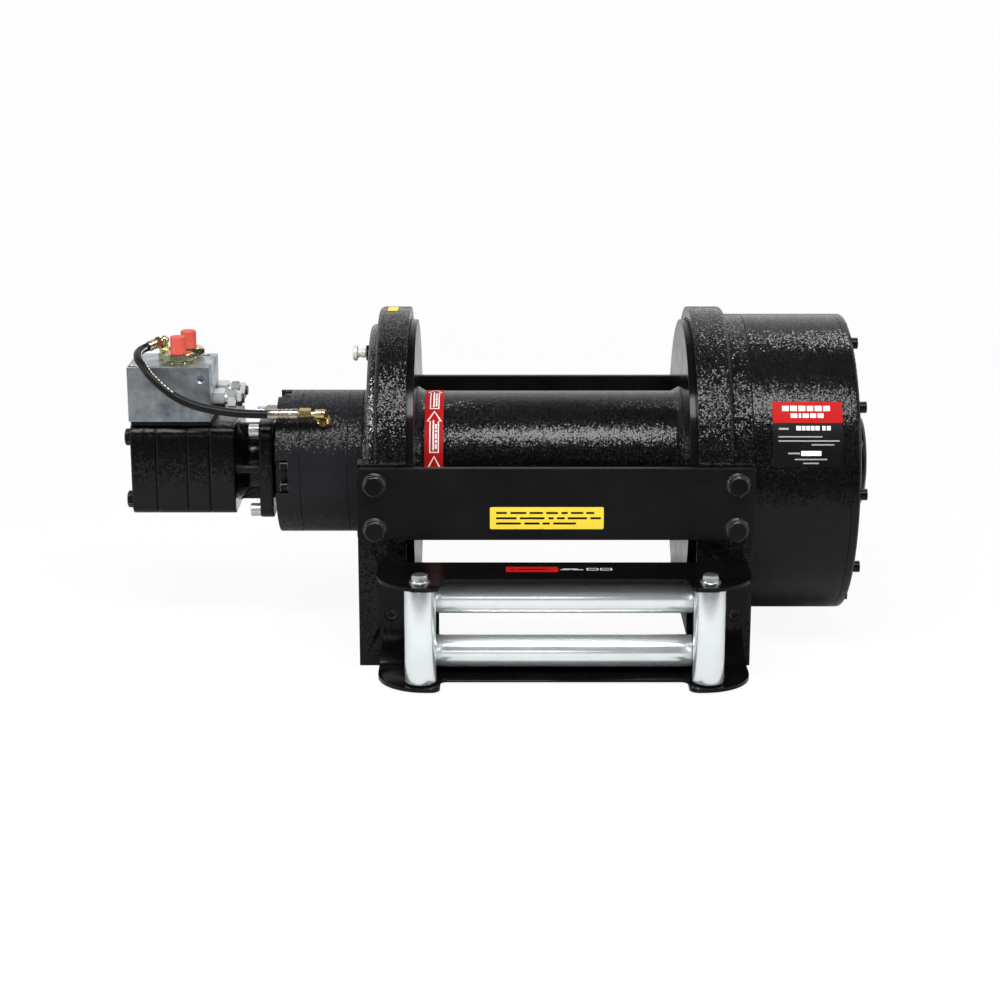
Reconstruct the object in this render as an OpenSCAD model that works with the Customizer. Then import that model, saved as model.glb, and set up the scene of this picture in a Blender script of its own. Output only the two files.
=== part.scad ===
// Hydraulic winch with a planetary gear case, a spring applied brake and a four roller fairlead.
// Millimetres. X runs along the drum axis, Y to the rear, Z up. The origin is on the plane of the
// feet, straight under the middle of the drum.

/* [Drum] */
// Clear length of the drum between its flanges
drum_len = 428; // [340:2:520]
// Outer radius of the drum barrel
barrel_r = 115; // [95:1:140]
// Wall of the drum barrel
barrel_wall = 14; // [8:1:25]
// Radius of the drum flanges, which the supports, the gear case and the axis height follow
flange_r = 232; // [190:1:280]
// Thickness of the drum flanges
flange_t = 16; // [13:1:18]
// How far a weld collar stands above the barrel
collar_rise = 7.5; // [4:0.5:12]
// Width of a weld collar
collar_w = 13; // [8:1:24]

/* [Supports] */
// Thickness of the left support
left_support_t = 50; // [44:1:60]
// Thickness of the right support
right_support_t = 56; // [50:1:64]
// Width of the left foot
left_foot_w = 75; // [70:1:84]
// Width of the right foot
right_foot_w = 87; // [80:1:96]
// Radius of the foot bolt holes
foot_hole_r = 10.4; // [8:0.1:12]
// Depth of the foot bolt holes
foot_hole_l = 50; // [30:1:56]

/* [Tie plates] */
// Thickness of the two tie plates
plate_t = 12; // [8:1:16]
// Height of the two tie plates
plate_h = 114; // [96:1:136]
// Upright distance between the two bolts of a row
tie_pitch = 71; // [60:1:76]

/* [Brake] */
// Outer radius of the brake
brake_r = 116.5; // [100:0.5:136]
// Length of the brake housing with the discs
brake_len = 76; // [64:1:96]
// Length of the brake's end housing
brake_end_len = 40; // [36:1:60]
// Stroke of the brake piston
piston_stroke = 2; // [1:0.1:3]

/* [Motor and manifold] */
// Length of the front section of the motor
motor_front_len = 41; // [36:1:60]
// Length of the bearing plate of the motor
motor_mid_len = 36; // [30:1:50]
// Length of the gear section of the motor
motor_gear_len = 50; // [40:1:70]
// Length of the end cover of the motor
motor_end_len = 41; // [34:1:60]
// Half height of the motor
motor_half = 74; // [70:1:80]
// Length of the manifold block
manifold_len = 132; // [120:1:150]
// Depth of the manifold block
manifold_d = 119; // [110:1:130]
// Height of the manifold block
manifold_h = 89; // [80:1:110]

/* [Gear case] */
// Length of the cast ring against the support
case_ring_len = 30; // [24:1:40]
// Length of the ring gear housing
case_len = 153; // [124:1:182]
// Thickness of the gear cover
gear_cover_t = 14; // [10:1:22]
// Number of screws in the gear cover
cover_screw_count = 10; // [6:1:12]

/* [Fairlead] */
// Height of the fairlead frame
fair_h = 165; // [134:1:196]
// How far the fairlead frame reaches past the drum, on each side
fair_over = 72; // [70:1:84]
// Plate thickness of the fairlead frame
fair_t = 6; // [4:0.5:8]
// Radius of the two upright rollers
upright_r = 24; // [18:0.5:27]
// Radius of the two level rollers
level_r = 25; // [18:0.5:26]

/* [Hidden] */

// Overrun of a cut past the face that it opens
cut = 1;
// Gap of a seat that doesn't move
seat = 0.05;
// Radial gap of a running fit
run = 0.06;
// Gap between faces that pass each other
pass = 0.3;
// Facets asked of a round face
round_n = 96;
$fn = round_n;

// Screw sizes
m20_r = 10;
m20_head_h = 12.5;
m20_head_r = 17.3;
m20_washer_r = 18.5;
m20_washer_t = 3;
m20_engage = 8;
m16_r = 8;
m16_head_h = 10;
m16_head_r = 13.8;
m16_washer_r = 16;
m16_washer_t = 2.5;
m12_r = 6;
m12_head_r = 9;
m12_head_h = 12;
m12_key_r = 5.8;
m12_key_l = 6;

// Sizes that keep pieces together
fair_low = 4;
plate_above = 39;
front_plate_z = fair_low + fair_h + plate_above;
foot_above = 4;
foot_h = front_plate_z + plate_h + foot_above;
rear_drop = 80;
rear_plate_z = foot_h - rear_drop;
flange_lift = 38;
axis_height = flange_r + flange_lift;
support_over = [18, 21];
support_half = flange_r + support_over[0];
support_r = flange_r + support_over[1];
case_over = 9;
case_r = flange_r + case_over;
fair_w = drum_len + 2 * fair_over;
upright_over = 10;
upright_pitch = drum_len + upright_over;

// Places along the drum axis, counted from the middle outwards
flange_x = drum_len / 2;
flange_out = flange_x + flange_t;
flange_show = 11;
flange_side_gap = 2.5;
support_x = flange_x + flange_show;
recess_x = flange_out + flange_side_gap;
recess_gap = 4;
left_x = support_x + left_support_t;
right_x = support_x + right_support_t;
bearing_cover_t = 14;
bearing_cover_in = 29;
bearing_cover_r = support_r - bearing_cover_in;
cover_x = left_x + bearing_cover_t;
cone_len = 12;
cone_x = cover_x + cone_len;
adapter_len = 23;
adapter_x = cone_x + adapter_len;
brake_x = adapter_x + brake_len;
brake_end_x = brake_x + brake_end_len;
pilot_len = 7;
flange_face_x = brake_end_x + pilot_len;
motor_flange_t = 22;
neck_x = flange_face_x + motor_flange_t;
neck_len = 40;
front_x = neck_x + neck_len;
mid_x = front_x + motor_front_len;
gear_x = mid_x + motor_mid_len;
end_x = gear_x + motor_gear_len;
tail_x = end_x + motor_end_len;
ring_x = right_x + case_ring_len;
case_x = ring_x + case_len;
gear_cover_x = case_x + gear_cover_t;

// Supports, hub, bushes and shaft
hub_r = 70;
hub_bore_r = 30;
hub_end_gap = 3;
hub_proud = 9;
hub_right_x = right_x + hub_proud;
bush_wall = 14;
shaft_r = 25;
edge_r = 8;
foot_x = [support_x + left_foot_w, support_x + right_foot_w];
bolt_inset = 27;
left_row_x = -(foot_x[0] - bolt_inset);
right_row_x = foot_x[1] - bolt_inset;
front_low_share = 0.4;
front_row_z = front_plate_z + (plate_h - tie_pitch) * front_low_share;
rear_row_z = rear_plate_z + (plate_h - tie_pitch) / 2;
foot_row_back = 60;
foot_row_y = support_half - foot_row_back;
foot_row_in = 40;
plate_corner = 7;
left_screw_in = 19;
left_screw_r = bearing_cover_r - left_screw_in;
left_screw_count = 8;
left_screw_grip = 28;
cover_screw_in = 21;
cover_screw_r = case_r - cover_screw_in;
cover_screw_grip = 26;

// Rope clamp on the left flange
clamp_in = 8.5;
clamp_r = (barrel_r + flange_r) / 2 - clamp_in;
clamp_w = 46;
clamp_l = 60;
clamp_t = 10;

// Gear teeth: shares of the module, but the half thickness is a share of the pitch
case_wall = 35;
case_bore_r = case_r - case_wall;
ring_rim = 8;
sun_n = 18;
planet_n = 27;
ring_n = sun_n + 2 * planet_n;
gear_m = 2 * (case_bore_r - ring_rim) / ring_n;
half_tooth_share = 0.21;
addendum_share = 0.85;
dedendum_share = 1.2;
flank_share = tan(20);
sun_pitch_r = gear_m * sun_n / 2;
planet_pitch_r = gear_m * planet_n / 2;
orbit_r = sun_pitch_r + planet_pitch_r;
planet_angles = [90, 210, 330];
sun_turn = planet_angles[0] % (360 / sun_n);
ring_turn = 180 / ring_n;
carrier_in = 30;
carrier_r = case_bore_r - carrier_in;
pin_2_r = 22;
pin_1_r = 18;
plate_2a_t = 18;
plate_2b_t = 12;
planet_2_share = 0.314;
planet_2_w = case_len * planet_2_share;
plate_1a_t = 12;
plate_1b_t = 10;
planet_1_share = 0.229;
planet_1_w = case_len * planet_1_share;
side_gap = 2;
sun_room = 2.8;
sun_room_r = sun_pitch_r + gear_m * addendum_share + sun_room;
stage_2_x = hub_right_x + plate_2a_t;
stage_2_end = stage_2_x + planet_2_w + 2 * side_gap;
carrier_2_end = stage_2_end + plate_2b_t;
carrier_1_x = carrier_2_end + side_gap;
stage_1_x = carrier_1_x + plate_1a_t;
stage_1_end = stage_1_x + planet_1_w + 2 * side_gap;
carrier_1_end = stage_1_end + plate_1b_t;
shaft_end_x = carrier_1_end + side_gap;
cover_edge_r = 7;
hub_cap_r = 78;
hub_cap_len = 35;
hub_cap_edge = 6;
hub_cap_screw_r = 62;
hub_cap_screws = 6;
hub_cap_grip = 9;

// Motor
motor_m = 4;
motor_n = 12;
motor_pitch_r = motor_m * motor_n / 2;
motor_tip_r = motor_pitch_r + motor_m * addendum_share;
motor_spread = 1;
idler_y = 2 * motor_pitch_r + motor_spread;
motor_shaft_r = 14;
motor_room_r = 17;
motor_front_in = 2;
motor_front_y = motor_half - motor_front_in;
motor_rear_out = 52;
motor_rear_y = idler_y + motor_rear_out;
motor_corner = 18;
motor_bolt_inset = [20, 22];
motor_bolt_z = motor_half - motor_bolt_inset[1];
motor_bolt_front_y = -(motor_front_y - motor_bolt_inset[0]);
motor_bolt_rear_y = motor_rear_y - motor_bolt_inset[0];
motor_blind = 18;
motor_flange_half = 80;
motor_flange_bolt = 66;
motor_flange_corner = 22;
flange_screw_r = 10.5;
flange_screw_h = 16;
flange_screw_shank_r = 6;
neck_r = 46;
neck_root_r = 64;
neck_web = 12;
pilot_r = 62;
spigot_r = 50;
spigot_len = 3;
coupling_l = 20;

// Brake stack
disc_t = 3;
disc_gap = 0.1;
disc_count = 4;
disc_in_r = 58;
disc_inset = 3;
separator_in_r = 62;
brake_wall = 20.5;
brake_bore_r = brake_r - brake_wall;
disc_out_r = brake_bore_r - disc_inset;
stack_x = adapter_x + disc_gap;
stack_len = 2 * disc_count * (disc_t + disc_gap) + disc_t;
piston_x = stack_x + stack_len + pass;
piston_in_r = 66;
spring_count = 3;
spring_t = 4;
spring_in_r = 68;
spring_inset = 4;
spring_out_r = brake_bore_r - spring_inset;
piston_end_x = brake_x - spring_count * (spring_t + 2 * piston_stroke);
spring_seat = 0.1;
spring_pitch = (brake_x - piston_end_x) / spring_count;
brake_screw_turn = 9.5;
brake_screw_angles = [for (a = [0 : 90 : 270], s = [-1, 1]) a + s * brake_screw_turn];
brake_screw_in = 10.5;
brake_screw_r = brake_r - brake_screw_in;
brake_screw_grip = 20;
notch_deep = 22.5;
notch_in_r = brake_r - notch_deep;
notch_len = 20;
notch_half = 27;
port_angle = 135;
port_x_back = 38;
bearing_r = 52;
bearing_w = 20;
bearing_back = 4;
race_t = 8;
ball_r = 5.2;
ball_count = 12;
ball_orbit_r = (shaft_r + bearing_r) / 2;

// Manifold
spacer_t = 7;
spacer_inset = 3;
manifold_over = [-1, 2];
manifold_x = -tail_x + manifold_over[0];
manifold_y = -motor_front_y + manifold_over[1];
manifold_z = axis_height + motor_half + spacer_t;
manifold_top = manifold_z + manifold_h;
manifold_end_x = manifold_x + manifold_len;
top_port_r = 9;
top_port_l = 40;
hex_fit_r = 26.5;
hex_fit_h = 16;
hex_collar_r = 18;
hex_collar_h = 3;
port_cap_r = 13;
port_cap_h = 27;
port_cap_wall = 2;
cap_bore_r = port_cap_r - port_cap_wall;
fit_bore_r = 7;
port_shares = [[0.591, 0.37], [0.667, 0.798]];
port_places = [for (s = port_shares) [manifold_x + s[0] * manifold_len, manifold_y + s[1] * manifold_d]];
gauge_r = 5;
gauge_l = 14;
gauge_sink_r = 7;
gauge_sink_l = 2;
gauge_inset = 13.5;
gauge_drop = 18.5;
side_port_r = 3.5;
side_port_in = 70;
side_port_y = manifold_y + side_port_in;
side_port_drop = 23;
screw_shares = [[0.06, 0.66], [0.87, 0.87], [0.06, 0.1]];
manifold_screw_r = 7;
manifold_screw_l = 8;
cartridge_shares = [0.42, 0.315];
cartridge_y = manifold_y + cartridge_shares[0] * manifold_d;
cartridge_z = manifold_z + cartridge_shares[1] * manifold_h;
cartridge_steps = [[0, 20, 16.5, 6], [20, 23, 10, 96], [23, 38, 16, 6], [38, 50, 13.5, 6]];

// Fairlead, with its places counted from its own middle
fair_x = 18;
fair_high = fair_low + fair_h;
fair_back_y = -support_half;
fair_plate_y = fair_back_y - fair_t;
fair_mid_out = 90;
fair_mid_y = fair_back_y - fair_mid_out;
fair_lug_out = 138;
fair_lug_y = fair_back_y - fair_lug_out;
fair_lug_r = 76;
fair_lug_in = 30;
fair_lug_corner = 14;
fair_lug_fillet = 10;
upright_in = 32;
upright_y = fair_lug_y + upright_in;
level_out = 53;
level_y = fair_back_y - level_out;
cheek_in = [13, 10];
cheek_y = fair_mid_y + cheek_in[1];
cheek_half = upright_pitch / 2 - cheek_in[0];
fair_hole_r = 10;
fair_hole_in = 19;
fair_hole_x = fair_w / 2 - fair_hole_in;
fair_hole_up = 81;
fair_hole_z = fair_low + fair_hole_up;
fair_screw_l = 46;
window_in = 13;
window_half_w = cheek_half - window_in;
window_rails = [31, 30];
window_low_z = fair_low + window_rails[0];
window_high_z = fair_high - window_rails[1];
window_corner = 10;
roller_gap = 1.5;
level_pin_r = 12;
pin_head_r = 17;
pin_head_t = 4;
pin_end = 5;
roller_edge = 2;
level_mid_z = (fair_low + fair_high) / 2;
level_room = 78;
level_pitch = fair_h - level_room;

// Label plates, left bare
label_t = 0.6;
label_corner = 2.4;
yellow_at = [-95.5, 18];
yellow_size = [175, 35];
yellow_lo = yellow_at + [0, front_plate_z];
name_in = 30;
name_len = 108;
name_lo_x = ring_x + name_in;
name_hi_x = name_lo_x + name_len;
name_angles = [144, 168.6];

// Plunger that drags on the left flange
plunger_y = -60;
plunger_in = 32;
plunger_z = axis_height + bearing_cover_r - plunger_in;
plunger_r = 5;
sleeve_r = 10;
sleeve_wall_r = 8.3;
sleeve_hex_r = 12.4;
sleeve_hex_h = 5;
knob_len = 19.5;
knob_r = 12.5;
knob_low_r = 8;
knob_neck_r = 6.3;
knob_rim = 7.5;
knob_gap = 1.5;
pad_r = 14;
pad_t = 6;
pad_travel = 6;
pad_x = flange_out + pass;
shoulder_r = 8;
shoulder_t = 3;
spring_wire_r = 0.9;
spring_coil_r = 6.6;
spring_turns = 7;
spring_ring_n = 10;
spring_sides = 6;
sleeve_in_x = pad_x + pad_t + pad_travel + pass;
shoulder_x = sleeve_in_x + shoulder_t;
sleeve_lid = 3;
sleeve_lid_x = cover_x - sleeve_lid;

// Hose and its fittings. The route's points are chosen by hand and count from the start of the hose
hose_r = 6.8;
hose_sides = 10;
hose_side = [0, 0.7, -0.7];
hose_start_in = [28, 58, 23];
hose_end_out = 88;
hose_route = [[0, 0, 0], [-6, -4, -2], [-11, -13, -4], [-13, -25, -6], [-12, -38, -8], [-8, -53, -12],
    [0, -65, -18], [9, -75, -28], [20, -81, -38], [33, -86, -49], [48, -89, -60], [65, -90, -70],
    [85, -90, -78], [108, -90, -84], [133, -90, -88], [158, -89, -91], [182, -89, -92], [200, -89, -92]];
elbow_from_hose = [24, 16, 8];
elbow_r = 8;
elbow_hex_r = 11;
elbow_hex_h = 12;
stem_r = 6;
ferrule_r = 8.4;
ferrule_len = 25;
swivel_r = 9.5;
swivel_hex_r = 10;
brake_port_x = -(brake_x - port_x_back);
brake_elbow_out = 26;
brake_hex_h = 10;
brake_hex_r = 12;
brake_port_l = 8;
brake_port_hole_r = 6;
hose_from = [manifold_x, manifold_y, manifold_top] + hose_start_in;
hose_to = [brake_port_x - hose_end_out, 0, axis_height] + toward(port_angle, brake_r + brake_elbow_out);
hose_last = len(hose_route) - 1;
hose_drift = hose_to - hose_from - hose_route[hose_last];
hose_points = [for (i = [0 : hose_last]) hose_from + hose_route[i] + hose_drift * i / hose_last];
elbow_top = hose_from + elbow_from_hose;

// Places
module at_axis() translate([0, 0, axis_height]) children();
// A turned shape: its outline holds the radius and the place along the drum axis
module turned() at_axis() rotate([0, 90, 0]) rotate_extrude() children();
// A round bar along the drum axis
module bar(x0, x1, r) translate([x0, 0, 0]) rotate([0, 90, 0]) cylinder(h = x1 - x0, r = r);
// An outline in Y and Z, pushed along the drum axis
module slab(x0, x1) translate([x0, 0, 0]) rotate([90, 0, 90]) linear_extrude(x1 - x0) children();
// An outline in X and Z, pushed from front to rear
module wall(y0, y1) translate([0, y1, 0]) rotate([90, 0, 0]) linear_extrude(y1 - y0) children();
module box(lo, hi) translate(lo) cube(hi - lo);
module tube(x0, x1, r_out, r_in) at_axis() difference() {
    bar(x0, x1, r_out);
    bar(x0 - cut, x1 + cut, r_in);
}
// A round bar between two points
module rod(p, q, r, n = round_n) {
    d = q - p;
    translate(p) rotate([0, acos(d[2] / norm(d)), atan2(d[1], d[0])]) cylinder(h = norm(d), r = r, $fn = n);
}
// A hole that runs from a front or rear face into the part
module front_hole(x, y, z, l, r)
    translate([x, y - cut, z]) rotate([-90, 0, 0]) cylinder(h = l + cut, r = r);
module rear_hole(x, y, z, l, r)
    translate([x, y + cut, z]) rotate([90, 0, 0]) cylinder(h = l + cut, r = r);
function arc(c, r, a0, a1, n = 6) =
    [for (i = [0 : n]) let (a = a0 + (a1 - a0) * i / n) c + r * [cos(a), sin(a)]];
function around(n, r, a0 = 0) =
    [for (i = [0 : n - 1]) let (a = a0 + 360 * i / n) [0, r * cos(a), r * sin(a)]];
function toward(a, r) = [0, r * cos(a), r * sin(a)];
module rounded(lo, hi, r) polygon(concat(
    arc(lo + [r, r], r, 180, 270), arc([hi[0] - r, lo[1] + r], r, 270, 360),
    arc(hi - [r, r], r, 0, 90), arc([lo[0] + r, hi[1] - r], r, 90, 180)));

// Gears with straight flanks; s is 1 for teeth that point out and -1 for teeth that point in
function tooth_point(m, n, a, u, w) = (m * n / 2 + m * u) * [cos(a), sin(a)] + m * w * [-sin(a), cos(a)];
function tooth(m, n, a, s) = let (top = PI * half_tooth_share - flank_share * addendum_share,
    low = PI * half_tooth_share + flank_share * dedendum_share)
    [tooth_point(m, n, a, -s * dedendum_share, -low), tooth_point(m, n, a, s * addendum_share, -top),
    tooth_point(m, n, a, s * addendum_share, top), tooth_point(m, n, a, -s * dedendum_share, low)];
module gear(m, n, turn, s = 1) polygon([for (i = [0 : n - 1]) each tooth(m, n, turn + 360 * i / n, s)]);

// A tube swept along points, whose sides line up with the given direction
function leg(p, i) = p[min(i + 1, len(p) - 1)] - p[max(i - 1, 0)];
function unit(v) = v / norm(v);
function hoop(p, i, r, n, side) = let (t = unit(leg(p, i)), u = unit(cross(t, side)), v = cross(t, u))
    [for (k = [0 : n - 1]) p[i] + r * (cos(360 * k / n) * u + sin(360 * k / n) * v)];
module sweep(p, r, n, side) {
    last = len(p) - 1;
    walls = [for (i = [0 : last - 1], k = [0 : n - 1]) let (j = (k + 1) % n) each
        [[i * n + k, (i + 1) * n + k, (i + 1) * n + j], [i * n + k, (i + 1) * n + j, i * n + j]]];
    ends = [[for (k = [0 : n - 1]) k], [for (k = [n - 1 : -1 : 0]) last * n + k]];
    polyhedron([for (i = [0 : last]) each hoop(p, i, r, n, side)], concat(walls, ends));
}

// Fasteners; the shank runs back from the seat of the head
module cap_screw(x, side, grip) translate([x, 0, 0]) rotate([0, side * 90, 0]) {
    difference() {
        cylinder(h = m12_head_h, r = m12_head_r);
        translate([0, 0, m12_head_h - m12_key_l]) cylinder(h = m12_key_l + cut, r = m12_key_r, $fn = 6);
    }
    translate([0, 0, -grip]) cylinder(h = grip + cut, r = m12_r);
}
module hex_bolt(r, head_r, head_h, washer_r, washer_t, grip) {
    difference() {
        cylinder(h = washer_t, r = washer_r);
        translate([0, 0, -cut]) cylinder(h = washer_t + 2 * cut, r = r + seat);
    }
    translate([0, 0, washer_t]) cylinder(h = head_h, r = head_r, $fn = 6);
    translate([0, 0, -grip]) cylinder(h = grip + washer_t + cut, r = r);
}
module tie_bolt()
    hex_bolt(m20_r, m20_head_r, m20_head_h, m20_washer_r, m20_washer_t, plate_t + m20_engage);

// Supports
module support_outline() intersection() {
    union() {
        circle(r = support_r);
        translate([-support_half, -axis_height]) square([2 * support_half, axis_height]);
    }
    translate([-support_half, -axis_height]) square([2 * support_half, axis_height + support_r + cut]);
}
// What rounds the outer edge of a round top; the face lies at x and looks to side
module top_edge(x, side) intersection() {
    turned() difference() {
        translate([support_r - edge_r, min(x, x - side * edge_r)]) square([edge_r + cut, edge_r + cut]);
        translate([support_r - edge_r, x - side * edge_r]) circle(r = edge_r);
    }
    box([x - 2 * edge_r, -2 * support_r, axis_height],
        [x + 2 * edge_r, 2 * support_r, 2 * axis_height + support_r]);
}
module support_body(t, foot_w, cradle_r) {
    far = support_x + t;
    foot = support_x + foot_w;
    difference() {
        union() {
            at_axis() slab(support_x, far) support_outline();
            box([support_x, -support_half, 0], [foot, support_half, foot_h]);
        }
        at_axis() bar(support_x - cut, recess_x, flange_r + recess_gap);
        at_axis() bar(far, foot + cut, cradle_r);
        at_axis() bar(support_x - cut, far + cut, hub_r + bush_wall + seat);
        for (y = [-foot_row_y, 0, foot_row_y]) translate([support_x + foot_row_in, y, -cut])
            cylinder(h = foot_hole_l + cut, r = foot_hole_r);
        for (dz = [0, tie_pitch]) {
            front_hole(foot - bolt_inset, -support_half, front_row_z + dz, m20_engage + cut, m20_r + seat);
            rear_hole(foot - bolt_inset, support_half, rear_row_z + dz, m20_engage + cut, m20_r + seat);
        }
    }
}
module cover_screw_holes(x0, x1) at_axis() for (p = around(cover_screw_count, cover_screw_r, 180))
    translate(p) bar(x0 - cut, x1 + cut, m12_r + seat);
module left_support() color("#1a1a1a") difference() {
    mirror([1, 0, 0]) support_body(left_support_t, left_foot_w, bearing_cover_r + pass);
    mirror([1, 0, 0]) top_edge(left_x, 1);
    front_hole(fair_x - fair_hole_x, -support_half, fair_hole_z, fair_screw_l, m20_r + seat);
    at_axis() for (p = around(left_screw_count, left_screw_r)) translate(p)
        bar(-left_x - cut, -left_x + left_screw_grip, m12_r + seat);
    translate([0, plunger_y, plunger_z]) {
        bar(-left_x - cut, -recess_x + cut, sleeve_r + seat);
        bar(-sleeve_in_x, -recess_x + cut, pad_r + pass);
    }
}
module right_support() color("#1a1a1a") difference() {
    support_body(right_support_t, right_foot_w, case_r + pass);
    top_edge(right_x, 1);
    front_hole(fair_x + fair_hole_x, -support_half, fair_hole_z, fair_screw_l, m20_r + seat);
    cover_screw_holes(right_x - cover_screw_grip, right_x);
}

// Tie plates and the bolts that hold them and the fairlead
module tie_plate(y0, y1, z, row) difference() {
    wall(y0, y1) rounded([-foot_x[0], z], [foot_x[1], z + plate_h], plate_corner);
    for (x = [left_row_x, right_row_x], dz = [0, tie_pitch])
        front_hole(x, y0, row + dz, plate_t + cut, m20_r + seat);
}
module front_tie_plate() color("#151515")
    tie_plate(-support_half - plate_t, -support_half, front_plate_z, front_row_z);
module rear_tie_plate() color("#151515")
    tie_plate(support_half, support_half + plate_t, rear_plate_z, rear_row_z);
module tie_bolts() color("#202020") {
    for (x = [left_row_x, right_row_x], dz = [0, tie_pitch]) {
        translate([x, -support_half - plate_t, front_row_z + dz]) rotate([90, 0, 0]) tie_bolt();
        translate([x, support_half + plate_t, rear_row_z + dz]) rotate([-90, 0, 0]) tie_bolt();
    }
    for (s = [-1, 1]) translate([fair_x + s * fair_hole_x, fair_plate_y + fair_t / 2, fair_hole_z])
        rotate([-90, 0, 0]) difference() {
            cylinder(h = fair_screw_l, r = m20_r);
            translate([0, 0, -cut]) cylinder(h = m12_key_l + cut, r = m12_key_r, $fn = 6);
        }
}

// Drum
module drum_barrel() color("#141414") turned() polygon([[barrel_r - barrel_wall, -flange_x],
    [barrel_r + collar_rise, -flange_x], [barrel_r, collar_w - flange_x],
    [barrel_r, flange_x - collar_w], [barrel_r + collar_rise, flange_x],
    [barrel_r - barrel_wall, flange_x]]);
module drum_flange_left() color("#101010") difference() {
    union() {
        tube(-flange_out, -flange_x, flange_r, hub_bore_r);
        tube(-left_x + hub_end_gap, -flange_out, hub_r, hub_bore_r);
    }
    at_axis() translate([0, clamp_r, 0]) bar(-flange_out - cut, -flange_x + cut, m12_r + seat);
}
module drum_flange_right() color("#101010") {
    tube(flange_x, flange_out, flange_r, hub_bore_r);
    tube(flange_out, hub_right_x, hub_r, hub_bore_r);
}
module rope_clamp() color("#8c8c8c") at_axis() translate([-flange_x, clamp_r, 0]) {
    difference() {
        box([0, -clamp_w / 2, -clamp_l / 2], [clamp_t, clamp_w / 2, clamp_l / 2]);
        bar(-cut, clamp_t + cut, m12_r + seat);
    }
    cap_screw(clamp_t, 1, clamp_t + flange_t - cut);
}
module drum_bushes() color("#b08d57") {
    tube(-left_x, -recess_x, hub_r + bush_wall, hub_r + run);
    tube(recess_x, right_x, hub_r + bush_wall, hub_r + run);
}

// Bearing cover and all cap screws
module bearing_cover() color("#1a1a1a") difference() {
    turned() difference() {
        polygon([[0, -left_x], [bearing_cover_r, -left_x], [bearing_cover_r, -cover_x + cone_len / 3],
            [bearing_cover_r - cone_len / 3, -cover_x], [brake_r + cone_len, -cover_x], [brake_r, -cone_x],
            [0, -cone_x]]);
        translate([0, -cone_x - cut]) square([hub_bore_r, cone_x]);
    }
    at_axis() for (p = around(left_screw_count, left_screw_r)) translate(p) {
        bar(-cover_x - cut, -left_x + cut, m12_r + seat);
        bar(-cover_x - cut, -cover_x + m12_head_h, m12_head_r + pass);
    }
    at_axis() for (a = brake_screw_angles) translate(toward(a, brake_screw_r))
        bar(-cone_x - cut, -cone_x + brake_screw_grip, m12_r + seat);
    translate([0, plunger_y, plunger_z]) bar(-cover_x - cut, -left_x + cut, sleeve_r + seat);
}
module cap_screws() color("#1c1c1c") at_axis() {
    for (p = around(left_screw_count, left_screw_r)) translate(p)
        cap_screw(-cover_x + m12_head_h, -1, bearing_cover_t - m12_head_h + left_screw_grip - cut);
    for (p = around(cover_screw_count, cover_screw_r, 180)) translate(p)
        cap_screw(gear_cover_x, 1, gear_cover_x - right_x + cover_screw_grip - cut);
    for (a = brake_screw_angles) translate(toward(a, brake_screw_r))
        cap_screw(-brake_end_x + notch_len, -1, brake_end_x - notch_len - cone_x + brake_screw_grip - cut);
    for (p = around(hub_cap_screws, hub_cap_screw_r)) translate(p)
        cap_screw(gear_cover_x + hub_cap_len - m12_head_h, 1, hub_cap_len - m12_head_h + hub_cap_grip - cut);
}

// Brake
module brake_holes(x0, x1) at_axis() for (a = brake_screw_angles) translate(toward(a, brake_screw_r))
    bar(x0 - cut, x1 + cut, m12_r + seat);
module brake_adapter() color("#1a1a1a") difference() {
    tube(-adapter_x, -cone_x, brake_r, hub_bore_r);
    at_axis() bar(-adapter_x - cut, -adapter_x + bearing_w, bearing_r + seat);
    brake_holes(-adapter_x, -cone_x);
}
module brake_housing() color("#1a1a1a") difference() {
    tube(-brake_x, -adapter_x, brake_r, brake_bore_r);
    brake_holes(-brake_x, -adapter_x);
    translate([brake_port_x, 0, axis_height])
        rod(toward(port_angle, brake_r - brake_port_l), toward(port_angle, brake_r + cut),
            brake_port_hole_r + seat);
}
module brake_end_housing() color("#1a1a1a") difference() {
    tube(-brake_end_x, -brake_x, brake_r, hub_bore_r);
    at_axis() bar(-brake_end_x - cut, -brake_end_x + bearing_back + bearing_w, bearing_r + seat);
    brake_holes(-brake_end_x, -brake_x);
    at_axis() for (a = [0 : 90 : 270]) rotate([a, 0, 0])
        box([-brake_end_x - cut, notch_in_r, -notch_half],
            [-brake_end_x + notch_len, brake_r + cut, notch_half]);
}
module brake_separators() color("#9a9a9a") for (i = [0 : disc_count]) {
    x = stack_x + i * 2 * (disc_t + disc_gap);
    tube(-x - disc_t, -x, brake_bore_r - seat, separator_in_r);
}
module friction_discs() color("#8a7348") for (i = [0 : disc_count - 1]) {
    x = stack_x + (2 * i + 1) * (disc_t + disc_gap);
    tube(-x - disc_t, -x, disc_out_r, disc_in_r + seat);
}
module brake_springs() color("#b0b0b0") turned() for (i = [0 : spring_count - 1]) {
    x = -piston_end_x - i * spring_pitch - spring_seat / 2;
    far = -piston_end_x - (i + 1) * spring_pitch + spring_seat / 2;
    in_r = i % 2 == 0 ? spring_in_r : spring_out_r;
    out_r = i % 2 == 0 ? spring_out_r : spring_in_r;
    polygon([[in_r, x], [in_r, x - spring_t], [out_r, far], [out_r, far + spring_t]]);
}
module brake_piston() color("#a8a8a8") tube(-piston_end_x, -piston_x, brake_bore_r - run, piston_in_r);
module shaft_bearings() color("#c0c0c0") for (x = [-adapter_x, -brake_end_x + bearing_back]) {
    tube(x, x + bearing_w, bearing_r, bearing_r - race_t);
    at_axis() for (p = around(ball_count, ball_orbit_r))
        translate([x + bearing_w / 2, 0, 0] + p) sphere(r = ball_r);
}
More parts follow.
